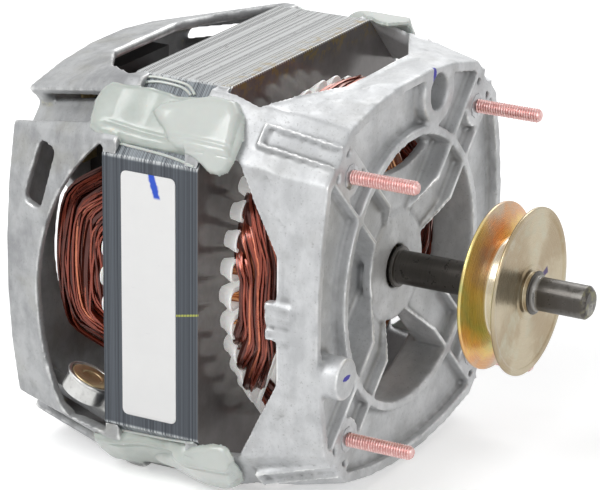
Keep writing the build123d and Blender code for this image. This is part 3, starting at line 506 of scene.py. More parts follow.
def black_shaft_steel(place):
    """Ground shaft with a black oxide skin, worn to bright and brass-green at the tip and its flats."""
    x = place.parts()[0]
    rings = (place * (3.0, 0.05, 0.05)).noise(1.0, 2.0, 0.6)
    patch = place.noise(0.35, 3.0, 0.6)
    base = layered(rings.tint((0.046, 0.041, 0.036), (0.088, 0.080, 0.071)),
                   (x.span(70.5, 73.0) * patch.span(0.46, 0.62, 0.0, 0.8), (0.20, 0.19, 0.09)),
                   (place.stored("edge") * patch.span(0.35, 0.6, 0.0, 0.8), (0.42, 0.41, 0.39)),
                   (abs(x - 52.6).span(0.5, 1.4, 0.5, 0.0), (0.45, 0.44, 0.42)))
    return {"Base Color": base, "Roughness": patch.span(0.3, 0.7, 0.26, 0.42), "Normal": rings.bump(0.15, 0.0001)}


def passivated_steel(place):
    """Turned pulley: fine rings of the tool, with a yellow passivation that shifts from straw to green, red and brown
    round the groove, its hues turning with the angle as a painted highlight over the real colours; the outer face
    is straw with a painted sheen in four lobes round the shaft, and carries an ink stroke."""
    x, y, z = place.parts()
    radius = (y * y + z * z).math("SQRT")
    angle = z.math("ARCTAN2", y)
    rings = node(place.tree, "TexNoise", {"W": radius * 3.1 + x * 3.1, "Scale": 1.6, "Detail": 4.0},
                 noise_dimensions="1D")
    cloud = place.noise(0.09, 4.0, 0.6)
    face = x.span(47.4, 47.9)
    # the straw face is lighter and darker in four lobes round the shaft: a painted sheen
    painted_sheen = (angle * 4.0 + cloud * 5.0).math("SINE")
    straw = painted_sheen.span(-1.0, 1.0).tint((0.30, 0.22, 0.12), (0.43, 0.36, 0.24))
    straw = cloud.span(0.5, 0.7, 0.0, 0.5).tint(straw, (0.42, 0.44, 0.34))
    # the hues turn with the angle round the shaft: the passivation's real colours arranged as a painted highlight
    shift = radius * 0.03 + cloud * 0.7 + angle * (1.0 / math.pi)
    hues = node(place.tree, "ValToRGB", {0: shift.math("FRACT")})
    ramp = hues.socket.node.color_ramp
    stops = ((0.0, (0.70, 0.53, 0.18)), (0.22, (0.50, 0.52, 0.18)), (0.42, (0.78, 0.52, 0.12)),
             (0.60, (0.66, 0.31, 0.12)), (0.78, (0.52, 0.40, 0.30)), (1.0, (0.70, 0.53, 0.18)))
    while len(ramp.elements) < len(stops):
        ramp.elements.new(0.5)
    for element, (at, value) in zip(ramp.elements, stops):
        element.position = at
        element.color = (*value, 1.0)
    mark = abs(angle - 0.27).span(0.07, 0.11, 1.0, 0.0) * abs(radius - 12.9).span(2.6, 3.2, 1.0, 0.0)
    base = layered(hues, (face, straw), (radius.span(20.0, 19.2) * (1.0 - face), (0.66, 0.60, 0.48)),
                   (rings.span(0.4, 0.62) * 0.3, (0.58, 0.52, 0.40)), (mark * face, (0.04, 0.015, 0.10)))
    return {"Base Color": base, "Roughness": rings.span(0.35, 0.65, 0.20, 0.34), "Normal": rings.bump(0.25, 0.00012)}


def bare_film(place):
    """White satin film with a pen tick near its upper end and a rubbed lower edge."""
    x, _, z = place.parts()
    cloud = place.noise(0.06, 4.0, 0.6)
    line = abs(x - z * -0.28 + 54.2 + (place.noise(0.4, 2.0, 0.5) - 0.5) * 1.6)
    tick = line.span(1.0, 1.9, 1.0, 0.0) * z.span(38.4, 39.6)
    scuff = (place * (0.2, 1.0, 2.6)).noise(0.9, 3.0, 0.6).span(0.66, 0.74)
    base = layered(cloud.tint((0.84, 0.84, 0.84), (0.91, 0.91, 0.90)), (tick, (0.01, 0.08, 0.62)),
                   (scuff * 0.35, (0.60, 0.60, 0.60)))
    return {"Base Color": base, "Normal": cloud.bump(0.05, 0.0003)}


def pale_floor(place):
    """A floor that glows a little for the camera and in reflections only."""
    rays = node(place.tree, "LightPath", out=None)
    return {"Emission Strength": rays["Is Camera Ray"].math("MAXIMUM", rays["Is Glossy Ray"]) * 0.42}


INK_DABS = (((7.5, -66.0, -20.0), (1.6, 3.2, 1.1)), ((0.5, 14.5, 71.0), (2.6, 1.5, 6.5)))
ENAMEL = {"Metallic": 0.62, "Coat Weight": 0.7, "Coat Roughness": 0.12, "Coat Tint": (1.0, 0.86, 0.74, 1.0)}
STEEL = {"Metallic": 0.9}

# Every finish by name: its recipe, the recipe's values, and the constants of its shader
FINISHES = {
    "front_casting_skin": (cast_aluminium, ((0.67, 0.68, 0.69), (0.50, 0.51, 0.52), (0.36, 0.36, 0.35),
                                            INK_DABS, 0.0), {}),
    "rear_casting_skin": (cast_aluminium, ((0.49, 0.50, 0.505), (0.31, 0.315, 0.325), (0.31, 0.30, 0.25),
                                           (), 0.8), {}),
    "sheet_edges": (lamination_steel, (), {"Metallic": 0.35}),
    # the film glows a little: painted light that keeps it bright in the shade of the slots
    "white_liner_film": (liner_film, (), {
        "Roughness": 0.34, "Subsurface Weight": 0.15, "Subsurface Scale": 0.001,
        "Emission Color": (1.0, 1.0, 0.98, 1.0), "Emission Strength": 0.24}),
    "red_enamel": (enamelled_wire, ((0.085, 0.014, 0.008), (0.29, 0.055, 0.030), (0.70, 0.24, 0.13)), ENAMEL),
    "gold_enamel": (enamelled_wire, ((0.30, 0.10, 0.035), (0.60, 0.24, 0.08), (0.90, 0.50, 0.22)), ENAMEL),
    "bonding_cement": (bonding_cement, (), {
        "Roughness": 0.24, "Coat Weight": 0.35, "Coat Roughness": 0.1, "Subsurface Weight": 0.1,
        "Subsurface Scale": 0.002}),
    "copper_plate": (copper_plate, (), {"Metallic": 0.85, "Roughness": 0.33}),
    "black_shaft_steel": (black_shaft_steel, (), {"Metallic": 0.6}),
    "passivated_steel": (passivated_steel, (), {"Metallic": 0.85, "Anisotropic": 0.5}),
    "bare_film": (bare_film, (), {"Roughness": 0.30}),
    "spring_steel_bright": (sheet_steel, ((0.34, 0.34, 0.35), (0.60, 0.60, 0.61), 0.30), STEEL),
    "protector_steel": (sheet_steel, ((0.50, 0.50, 0.49), (0.74, 0.74, 0.72), 0.28), STEEL),
    "gold_cover": (sheet_steel, ((0.66, 0.50, 0.26), (0.86, 0.72, 0.46), 0.34), STEEL),
    "zinc_sheet": (sheet_steel, ((0.42, 0.43, 0.43), (0.62, 0.63, 0.63), 0.36), STEEL),
    "cage_aluminium": (sheet_steel, ((0.46, 0.47, 0.47), (0.66, 0.67, 0.67), 0.45), {"Metallic": 0.7}),
    "sintered_bronze": (sheet_steel, ((0.34, 0.22, 0.10), (0.56, 0.40, 0.21), 0.42), STEEL),
    "brass_blade": (sheet_steel, ((0.56, 0.42, 0.18), (0.80, 0.66, 0.36), 0.28), STEEL),
    "black_phenolic": (moulded, ((0.020, 0.020, 0.021), (0.045, 0.045, 0.046)), {"Roughness": 0.45}),
    "oiled_felt": (moulded, ((0.24, 0.20, 0.14), (0.42, 0.37, 0.28)), {"Roughness": 0.9}),
    "pale_floor": (pale_floor, (), {"Roughness": 0.9, "Emission Color": (1.0, 1.0, 1.0, 1.0)}),
}
MATERIALS = {}


def finish(name):
    """The material of that name from the table, made when it is first asked for. Its place is the object's
    own coordinates in millimetres."""
    if name not in MATERIALS:
        material = MATERIALS[name] = bpy.data.materials.new(name)
        material.use_nodes = True
        tree = material.node_tree
        shader = tree.nodes["Principled BSDF"]
        recipe, values, constants = FINISHES[name]
        for key, value in constants.items():
            shader.inputs[key].default_value = value
        place = node(tree, "TexCoord", out="Object") * (1000.0, 1000.0, 1000.0)
        for key, value in recipe(place, *values).items():
            tree.links.new(value.socket, shader.inputs[key])
    return MATERIALS[name]


# ---------------------------------------------------------------- settings


def size(name, description, default, low, high):
    return bpy.props.FloatProperty(name=name, description=description, default=default, min=low, max=high,
                                   subtype="DISTANCE", unit="LENGTH", precision=5)


class MotorCastings(bpy.types.PropertyGroup):
    voxel: size("Skin grid", "Spacing of the grid that the cast skin is rebuilt on", 0.0009, 0.0003, 0.004)
    smoothing: bpy.props.IntProperty(name="Smoothing", description="Passes that round the cast edges", default=3,
                                     min=0, max=30)


class MotorWindings(bpy.types.PropertyGroup):
    wire: size("Wire radius", "Outside radius of the running winding's wire", 0.00056, 0.0002, 0.002)
    start_wire: size("Starting wire radius", "Outside radius of the starting winding's wire", 0.00042, 0.0001, 0.002)
    strands: bpy.props.IntProperty(name="Strands", description="Wires drawn in each coil side", default=42, min=6,
                                   max=80)


class MotorStuds(bpy.types.PropertyGroup):
    pitch: size("Thread pitch", "Distance from one thread to the next", 0.001058, 0.0003, 0.003)
    depth: size("Thread depth", "Height of the thread", 0.00052, 0.0001, 0.002)


class MotorStage(bpy.types.PropertyGroup):
    floor_colour: bpy.props.FloatVectorProperty(name="Floor colour", description="Colour of the floor",
                                                subtype="COLOR", default=(0.93, 0.93, 0.93), min=0.0, max=1.0)
    key_power: bpy.props.FloatProperty(name="Key light", description="Power of the large soft light", default=15.0,
                                       min=0.0, unit="POWER")


# ---------------------------------------------------------------- castings


def rebuilt(node, name, voxel, passes, lumps):
    """A copy of a casting's node, merged, rebuilt on a voxel grid, smoothed so that its edges round off,
    and thinned. lumps are small lugs, as low and high corners in mm, that grow out of it."""
    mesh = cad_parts[node].data.copy()
    piece = placed(name, mesh)
    work = bmesh.new()
    work.from_mesh(mesh)
    bmesh.ops.remove_doubles(work, verts=work.verts, dist=1e-6)
    for low, high in lumps:
        low, high = np.array(low) * MM, np.array(high) * MM
        place = Matrix.Translation((low + high) / 2) @ Matrix.Diagonal((*(high - low), 1.0))
        bmesh.ops.create_cube(work, size=1.0, matrix=place)
    work.to_mesh(mesh)
    work.free()
    remesh = piece.modifiers.new("skin", "REMESH")
    remesh.mode = "VOXEL"
    remesh.voxel_size = voxel
    applied(piece)
    points, edges = points_and_edges(piece.data)
    # shrinking passes alternate with growing ones, which keeps the walls' thickness
    for share in (0.55, -0.36) * passes + (0.3, 0.3):
        points = points + share * pull(points, edges)
    store(piece.data.vertices, "co", points)
    piece.data.update()
    count = len(piece.data.polygons) * 2
    if count > CASTING_TRIANGLES:
        thin = piece.modifiers.new("thin", "DECIMATE")
        thin.ratio = CASTING_TRIANGLES / count
        applied(piece)
    return piece


def applied(piece):
    """The piece with its modifiers applied."""
    graph = bpy.context.evaluated_depsgraph_get()
    made = bpy.data.meshes.new_from_object(piece.evaluated_get(graph))
    piece.modifiers.clear()
    old = piece.data
    piece.data = made
    bpy.data.meshes.remove(old)


def points_and_edges(mesh):
    """The mesh's points and its edges as arrays."""
    return read(mesh.vertices, "co", 3).astype(float), read(mesh.edges, "vertices", 2, np.int32)


def pull(points, edges):
    """From each point to the mean of its neighbours."""
    n = len(points)
    total = np.zeros_like(points)
    for k in range(3):
        total[:, k] = (np.bincount(edges[:, 0], points[edges[:, 1], k], n)
                       + np.bincount(edges[:, 1], points[edges[:, 0], k], n))
    degree = np.bincount(edges[:, 0], minlength=n) + np.bincount(edges[:, 1], minlength=n)
    return total / np.maximum(degree, 1)[:, None] - points


def evened(value, edges, passes):
    """A value on the points, moved half-way to its neighbours' mean in each pass."""
    for _ in range(passes):
        value = value + 0.5 * pull(value[:, None].repeat(3, 1), edges)[:, 0]
    return value


def mark_edges(piece, scale=0.00015):
    """Stores two values on the points: edge, how convex the skin is, and hollow, how concave. They are the
    pull towards the neighbours against the normal, in shares of the scale."""
    mesh = piece.data
    points, edges = points_and_edges(mesh)
    bend = evened(-(pull(points, edges) * read(mesh.vertex_normals, "vector", 3)).sum(1), edges, 2)
    for name, value in (("edge", bend), ("hollow", -bend)):
        store(mesh.attributes.new(name, "FLOAT", "POINT").data, "value", np.clip(value / scale, 0, 1))


def step(value, low, high):
    """Smooth step from 0 at low to 1 at high: 3t^2 - 2t^3."""
    t = np.clip((value - low) / (high - low), 0, 1)
    return t * t * (3 - 2 * t)


# Border of the raised panel on each side of the front casting, as (across, along the shaft)
PANEL_LINE = np.array([(-58.7, -25.0), (-45.2, -17.6), (-25.0, -10.7), (10.3, -10.6), (30.3, -11.2), (41.9, -17.4),
                       (61.2, -24.5)])


def front_relief(points, normals):
    """How far the front casting's walls stand out, in mm: on each side wall the margin between the arch
    and the panel's border is let in by 1.1, with a smooth step, and the wall is faintly uneven."""
    x, y, z = points.T
    out = 0.10 * waves(x, y, z, 0.22, 71, 2)
    for sign, axis in ((-1, 1), (1, 1), (1, 2), (-1, 2)):
        across = z if axis == 1 else y
        facing = step(sign * normals[:, axis], 0.80, 0.95) * step(sign * points[:, axis], 62.0, 66.0)
        facing = facing * step(np.abs(across), 62.0, 57.0)
        border = np.interp(across, PANEL_LINE[:, 0], PANEL_LINE[:, 1])
        out -= 1.1 * facing * step(x - border, 0.5, -0.5)
    return out


def stamp_relief(mesh):
    """Moves each point of the front casting along its normal by the relief at that place."""
    points, edges = points_and_edges(mesh)
    normals = read(mesh.vertex_normals, "vector", 3).astype(float)
    depth = evened(front_relief(points / MM, normals), edges, 8)
    store(mesh.vertices, "co", points + normals * (depth * MM)[:, None])
    mesh.update()


class MOTOR_OT_castings(bpy.types.Operator):
    """Front and rear castings with rounded edges and a cast skin"""

    bl_idname = "motor.castings"
    bl_label = "Castings"

    def execute(self, context):
        given = context.scene.motor_castings
        voxel = given.voxel * 1.0
        side_lug = ((-20.2, -77.4, 1.0), (-9.8, -72.0, 6.4))
        for end, lumps in (("front", (side_lug,)), ("rear", ())):
            piece = rebuilt(end + "_shield", end + "_casting", voxel, given.smoothing, lumps)
            if end == "front":
                stamp_relief(piece.data)
            mark_edges(piece)
            soften(piece, degrees=60.0)
            settle(piece, "stator_frame", end + "_casting_skin", end + "_shield")
        return {"FINISHED"}


# ---------------------------------------------------------------- core and liners


def cuff(face, outwards):
    """One liner's cuff: a U-shaped fold, drawn along the slot's outline. u runs along the U, v round the
    fold's own section, out along the shaft, over the rounded lip and back into the slot. The U flares as
    it leaves the core: with f = x / 8 it grows 5.6 f outwards at the bottom and 0.3 f in width."""
    top, bottom = 43.7, 61.6
    narrow, wide = 1.72, 3.05
    outline = rounded([(top, narrow), (bottom, wide), (bottom, -wide), (top, -narrow)], 3.0, steps=7,
                      closed=False)
    along = np.gradient(outline, axis=0)
    side = unit(np.stack([along[:, 1], -along[:, 0]], -1))
    if side[len(side) // 2, 0] < 0:
        side = -side
    u = np.linspace(-1, 1, len(outline))[:, None]
    # the section: (distance out of the core, offset across the film)
    section = np.array([(-1.5, 0.0), (1.8, 0.22), (5.4, 0.62), (7.4, 0.62), (8.0, 0.10), (7.6, -0.55), (5.2, -0.75),
                        (0.0, -0.36), (-1.5, -0.36)])
    out, across = section.T
    x = out * np.where(out > 0, 1.0 - 0.30 * np.abs(u) ** 2.5, 1.0)
    flare = np.clip(x / 8.0, 0, 1)
    r = outline[:, :1] + side[:, :1] * across
    t = outline[:, 1:] + side[:, 1:] * across
    r = r + 5.6 * flare * (r - top) / (bottom - top)
    t = t * (1 + 0.30 * flare)
    return np.stack([face + outwards * x, r, t], -1)


class MOTOR_OT_core(bpy.types.Operator):
    """Laminated core's finish and the white cuffs of the slot liners"""

    bl_idname = "motor.core"
    bl_label = "Core and liners"

    def execute(self, context):
        dress("stator_core", "sheet_edges")
        shells = Shells()
        rng = np.random.default_rng(5)
        for face, outwards in ((CORE_FRONT, 1), (CORE_REAR, -1)):
            x, y, z = np.moveaxis(cuff(face, outwards), -1, 0)
            lean = rng.normal(0, 0.25, (SLOTS, 1, 1))
            shells.add(spun(x + outwards * lean * (np.abs(x - face) > 1.0), y, z,
                            np.radians(360.0 / SLOTS * np.arange(SLOTS))[:, None, None]))
        settle(shells.made("slot_cuffs"), "stator_frame", "white_liner_film", "slot_liners")
        return {"FINISHED"}


def dress(node, material):
    """Gives a CAD node its finish."""
    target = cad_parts[node]
    target.data.materials.clear()
    target.data.materials.append(finish(material))


# ---------------------------------------------------------------- windings


def spiral(count, rng):
    """Points spread evenly in a unit disc: radius sqrt(k/n), each turned on by the golden angle."""
    k = np.arange(count) + 0.5
    r = np.sqrt(k / count)
    a = GOLDEN_ANGLE * k + rng.uniform(0, PHASES)
    return np.stack([r * np.cos(a), r * np.sin(a)], -1)


def loops(face, outwards, pole, coil, count, steps, rng):
    """Wires of one coil's end. The bundle's line runs straight out of one slot, slants in over the pole,
    runs level, slants back and enters the other slot: corners (angle, out) at (-span, -3), (-span, straight),
    (-level, overhang), (level, overhang), (span, straight), (span, -3), rounded by repeated averaging. Wire k
    lies at p + a w n + b d, with n square to the line on the unrolled cylinder, w and d the bundle's half
    width and depth, which grow from the slot's to the overhang's, and (a, b) its place in the section, which
    turns slowly along the way."""
    half_span, level, overhang, low_r, high_r, half_w, half_d = coil
    slot_w, slot_d = 1.7, 4.2
    # coils that close in on the bore leave the cuffs straight and turn later than the others
    straight, turn = (6.5, (4.5, 11.5)) if high_r > low_r else (10.5, (9.0, 14.5))
    corners = np.array([(-half_span, -3.0), (-half_span, straight), (-level, overhang), (level, overhang),
                        (half_span, straight), (half_span, -3.0)])
    scale = math.pi / 180 * (low_r + high_r) / 2
    lengths = np.linalg.norm(np.diff(corners * (scale, 1.0), axis=0), axis=1)
    stops = np.concatenate([[0], np.cumsum(lengths)]) / lengths.sum()
    t = np.linspace(0, 1, 4 * steps)
    weights = np.array([np.interp(t, stops, row) for row in np.eye(6)]).T
    for _ in range(steps // 2):
        weights[1:-1] = 0.25 * weights[:-2] + 0.5 * weights[1:-1] + 0.25 * weights[2:]
    jitter = np.zeros((count, 6, 2))
    jitter[:, 2:4] = rng.normal(0, 1.0, (count, 2, 2)) * (1.1, 0.35)
    jitter[:, 1:5] += rng.normal(0, 0.25, (count, 4, 2))
    line = np.einsum("tk,wkc->wtc", weights, corners[None] + jitter) * (scale, 1.0)
    s = step(line[..., 1], *turn)
    place = spiral(count, rng)
    wander = rng.integers(1, 3, (count, 1)) * math.pi * t[None] + rng.uniform(0, PHASES, (count, 1))
    twist = rng.uniform(-0.6, 0.6, (count, 1)) + 0.55 * np.sin(wander)
    a = place[:, :1] * np.cos(twist) - place[:, 1:] * np.sin(twist)
    b = place[:, :1] * np.sin(twist) + place[:, 1:] * np.cos(twist)
    along = unit(np.gradient(line.mean(0), axis=0))
    n = np.stack([along[:, 1], -along[:, 0]], -1)
    width = slot_w + (half_w - slot_w) * s
    line = line + (a * width)[..., None] * n[None]
    r = low_r + (high_r - low_r) * s + b * (slot_d + (half_d - slot_d) * s)
    around = np.radians(pole + line[..., 0] / scale)
    return resampled(polar(face + outwards * line[..., 1], r, around), steps)


def coils(shells, face, outwards, given, poles, wire, count, steps, sides, tone, seed):
    """Every coil end on one side of the core, each a bundle of wires round a dark tube, painted shade that
    fills the gaps between them. A coil is (half span, level half width in degrees, overhang, radius at the slot and
    at the overhang, half width, half depth)."""
    rng = np.random.default_rng(seed)
    for pole, share in poles:
        for coil in given:
            coil = coil[:2] + (coil[2] * share,) + coil[3:]
            paths = loops(face, outwards, pole, coil, count, steps, rng)
            tones = np.clip(rng.normal(tone, 0.24, len(paths)), 0, 1)
            shells.add(carried(paths, wire, sides), tone=tones)
            # a dark tube inside the bundle: painted shade between the wires
            shaded_heart = loops(face, outwards, pole, coil, 3, steps, np.random.default_rng(seed + 1))
            shells.add(carried(shaded_heart, 0.62 * min(coil[5], 3.0), 8), tone=0.0)


class MOTOR_OT_windings(bpy.types.Operator):
    """Running and starting windings as bundles of single wires"""

    bl_idname = "motor.windings"
    bl_label = "Windings"

    def execute(self, context):
        given = context.scene.motor_windings
        count = given.strands // 1
        wire = given.wire / MM * 1.0
        # running poles, and how far their coils may stand out: the switch leaves less room at the top rear
        front_poles = ((90.0, 1.0), (180.0, 1.0), (270.0, 1.0), (0.0, 1.0))
        rear_poles = ((90.0, 0.82), (180.0, 1.0), (270.0, 0.95), (0.0, 1.15))
        front = [(20.0, 8.0, 13.0, 57.0, 62.4, 3.0, 4.6), (30.0, 12.0, 17.0, 57.0, 63.2, 3.1, 5.0),
                 (40.0, 14.5, 21.0, 57.0, 63.6, 3.2, 5.2)]
        rear = [(21.0, 13.0, 14.5, 54.5, 56.5, 4.2, 4.8), (31.0, 19.5, 21.5, 54.5, 56.5, 4.6, 5.2),
                (41.0, 26.0, 28.0, 54.5, 56.0, 5.0, 5.6)]
        for name, face, outwards, poles, given_coils, seed in (
                ("running_coils_front", CORE_FRONT, 1, front_poles, front, 11),
                ("running_coils_rear", CORE_REAR, -1, rear_poles, rear, 12)):
            shells = Shells()
            coils(shells, face, outwards, given_coils, poles, wire, count, steps=30, sides=5, tone=0.40, seed=seed)
            settle(shells.made(name), "stator_frame", "red_enamel", "main_winding")
        shells = Shells()
        fine = given.start_wire / MM
        poles = tuple((angle, 1.0) for angle in (45.0, 135.0, 225.0, 315.0))
        start = [(35.0, 22.0, 15.0, 56.8, 49.0, 2.2, 2.6), (45.0, 28.0, 18.0, 56.8, 49.0, 2.2, 2.6)]
        for face, outwards, seed in ((CORE_FRONT, 1, 21), (CORE_REAR, -1, 22)):
            coils(shells, face, outwards, start, poles, fine, count=16, steps=26, sides=4, tone=0.85, seed=seed)
        settle(shells.made("starting_coils"), "stator_frame", "gold_enamel", "start_winding")
        return {"FINISHED"}


# ---------------------------------------------------------------- cement, plate


def corner_place(s, half, stop):
    """A square with cut corners near one corner, by distance s from the cut's middle: the flat side, the
    cut, the flat side. Returns the place and the outward direction as (across, up), both positive there;
    the direction turns smoothly at the two bends."""
    run = (half - stop) * math.sqrt(2) / 2
    over = np.maximum(np.abs(s) - run, 0)
    on = np.clip(s, -run, run) / math.sqrt(2)
    y = (half + stop) / 2 - on
    z = (half + stop) / 2 + on
    y = np.where(s > run, stop - over, y)
    z = np.where(s < -run, stop - over, z)
    angle = math.pi / 4 * (1 + step(s, run - 1.5, run + 1.5) - step(-s, run - 1.5, run + 1.5))
    return y, z, np.cos(angle), np.sin(angle)


def depth_inside(u, s, outline):
    """Distance from each point (u, s) to a closed outline, positive inside: the least distance to its
    straight runs, with the sign from the winding of the outline round the point."""
    a = np.asarray(outline, float)
    b = np.roll(a, -1, 0)
    p = np.stack([u, s], -1)[..., None, :]
    run = b - a
    t = np.clip(((p - a) * run).sum(-1) / (run * run).sum(-1), 0, 1)
    near = np.linalg.norm(p - (a + t[..., None] * run), axis=-1).min(-1)
    pa, pb = a - p, b - p
    turn = np.arctan2(pa[..., 0] * pb[..., 1] - pa[..., 1] * pb[..., 0], (pa * pb).sum(-1)).sum(-1)
    return np.where(np.abs(turn) > math.pi, near, -near)


def bead(depth, width):
    """Rounded edge of a flowed layer: sqrt(1 - (1 - d/w)^2) from 0 at its border to 1 at w inside."""
    return np.sqrt(np.clip(1 - (1 - np.clip(depth / width, 0, 1)) ** 2, 0, 1))


# Borders of the cement on one corner, as (along the shaft, across the corner): the thin layer over the rear
# lug and the core, and the thick tongue that ran back from the front lug, with its drip
THIN_LAYER = [(-95.8, -9.5), (-97.6, -5.0), (-98.2, 1.0), (-97.0, 6.0), (-94.0, 9.4), (-87.6, 9.8), (-79.0, 11.6),
              (-66.8, 10.2), (-54.0, 11.2), (-42.0, 9.8), (-37.0, 5.0), (-35.0, -12.8), (-57.9, -12.9), (-75.0, -12.4),
              (-90.0, -11.8)]
TONGUE = [(-73.0, 0.8), (-71.4, 4.0), (-67.2, 6.2), (-58.0, 9.0), (-49.0, 10.8), (-41.5, 9.6), (-36.5, 4.6),
          (-33.5, -4.0), (-34.0, -14.0), (-36.4, -18.2), (-39.6, -19.9), (-43.2, -19.6), (-46.4, -17.4), (-50.4, -15.0),
          (-58.4, -11.9), (-63.2, -9.0), (-66.3, -5.1), (-70.0, -2.2)]
CURLS = ([(-87.2, 14.6), (-81.2, 16.2), (-71.2, 15.9), (-64.9, 15.0), (-61.4, 11.6)],
         [(-84.6, 13.0), (-79.0, 14.4), (-74.0, 14.4), (-67.0, 13.8), (-62.8, 11.2)],
         [(-84.0, -12.6), (-76.0, -13.2), (-70.0, -13.6), (-63.0, -14.1), (-56.0, -15.2), (-50.0, -16.6)])


def cement_mass(seed, stray, way):
    """One corner's cement. u runs along the shaft and s across the corner. Over the core's cut face the
    thin layer stands h = floor + swells, where the floor falls from the rear lug's top to the middle and
    rises to the front lug; the tongue adds its own bead. Both fade by bead() at their borders, below which
    the skin sinks into the metal. way is -1 where the tongue's drip hangs on the upper side. Gives u, the
    place and outward direction across, the height over the face and the tongue's share."""
    u, s = np.meshgrid(np.linspace(-100.0, -32.0, 170), way * np.linspace(-22.0, 15.0, 110), indexing="ij")
    # over the lugs, which reach 6 mm in from the core's ends, the metal lies 4 mm further out
    lap = step(u, CORE_FRONT - 6.6, CORE_FRONT - 5.6) + step(u, CORE_REAR + 6.6, CORE_REAR + 5.6)
    y, z, ny, nz = corner_place(s, CORE_HALF, CORNER_STOP + (LUG_STOP - CORNER_STOP) * lap)
    # the borders wander, more on the corners with a larger stray
    wu = u + (0.45 + stray) * waves(u, s, 0.0, 0.30, seed, 3)
    ws = way * s + (0.35 + 0.6 * stray) * waves(u, s, 0.0, 0.34, seed + 1, 3)
    thin = bead(depth_inside(wu, ws, THIN_LAYER), 2.6)
    thick = bead(depth_inside(wu, ws, TONGUE), 4.6)
    floor = 4.9 - 2.2 * step(u, -88.0, -74.0) + 2.0 * step(u, -66.0, -52.0)
    swell = 0.28 * waves(u, s, 0.0, 0.15, seed + 2, 2) + 0.05 * waves(u, s, 0.0, 0.7, seed + 3, 1)
    # a shallow crease runs along the layer below its middle
    crease = 0.55 * np.exp(-((way * s + 7.5 + 0.05 * (u + 75.0)) / 0.9) ** 2) * step(u, -92.0, -86.0)
    height = SUNK + (floor - SUNK + swell - crease - 4.0 * lap) * thin
    height = height + ((2.3 if way > 0 else 3.6) + swell) * thick
    return u, y, z, ny, nz, height, thick


class MOTOR_OT_cement(bpy.types.Operator):
    """Lobed masses of cement over the corners of the core"""

    bl_idname = "motor.cement"
    bl_label = "Cement"

    def execute(self, context):
        shells = Shells()
        # corners: the signs of y and z, the seed, the stray and the way of the drip
        for sy, sz, seed, stray, way in ((-1, 1, 31, 0.0, 1), (1, 1, 38, 0.8, -1), (1, -1, 45, 1.6, 1),
                                         (-1, -1, 52, 1.0, 1)):
            u, y, z, ny, nz, height, thick = cement_mass(seed, stray, way)
            top_y = np.minimum(y + height * ny, CORE_HALF + (0.9 if sy < 0 else 0.0))
            top_z = np.minimum(z + height * nz, CORE_HALF - 0.02)
            corner = (1.0, sy, sz)
            upper = np.stack([u, top_y, top_z], -1) * corner
            lower = np.stack([u, y - 1.8 * ny, z - 1.8 * nz], -1) * corner
            shells.slab(upper, lower, quads_of(height > SUNK + 0.02).any(-1), thick)
            for curl in CURLS:
                line = resampled(rounded(curl, 3.0, closed=False)[None], 40)[0]
                cy, cz, dy, dz = corner_place(line[:, 1], CORE_HALF, CORNER_STOP)
                path = np.stack([line[:, 0], cy + 0.25 * dy, cz + 0.25 * dz], -1) * corner
                shells.add(carried(path[None], 0.55, 8), tone=0.9)
        settle(shells.made("cement_masses", merge=True), "stator_frame", "bonding_cement",
               "corner_cement")
        return {"FINISHED"}


class MOTOR_OT_plate(bpy.types.Operator):
    """Bare white film in the label's place"""

    bl_idname = "motor.plate"
    bl_label = "Bare film"

    def execute(self, context):
        low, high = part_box("blank_plate")
        x0, x1, z0, z1 = low.x / MM, high.x / MM, low.z / MM, high.z / MM
        ring = rounded([(x0, z0), (x1, z0), (x1, z1), (x0, z1)], 2.6, steps=8)
        away = unit(ring - ring.mean(0))
        # rings of the film from its back edge, over the rounded lip, to the face
        levels = ((0.0, PLATE_FACE + 0.35), (0.0, PLATE_FACE + 0.08), (0.12, PLATE_FACE + 0.01), (1.4, PLATE_FACE))
        grid = []
        for inset, y in levels:
            p = ring - away * inset
            grid.append(np.stack([p[:, 0], np.full(len(p), y), p[:, 1]], -1))
        piece = shell("bare_film_plate", np.array(grid), wrap_u=False)
        settle(piece, "stator_frame", "bare_film", "blank_plate")
        return {"FINISHED"}


# ---------------------------------------------------------------- studs


def thread(length, radius, depth, pitch):
    """A threaded bar on the X axis: radius = outside - depth |saw(x/pitch - a/2pi)|, narrowing over the
    chamfer at its tip, with its first ring set back to its root in the casting. Gives the grid and how near
    each point is to the crest."""
    chamfer, root = 1.1, -8.0
    x = np.append(0.0, np.linspace(0, length, int(length / pitch * 8)))[:, None]
    a = round_angles(28)
    phase = np.mod(x / pitch - a / math.tau, 1.0)
    saw = np.abs(2 * phase - 1)
    crest = np.clip((saw - 0.12) / 0.72, 0, 1)
    r = radius - depth * crest
    tip = radius - np.clip((x - (length - chamfer)) / chamfer, 0, 1) * (chamfer * 0.8)
    grid = polar(x, np.minimum(r, tip), a)
    grid[0, :, 0] = root
    return grid, 1 - crest


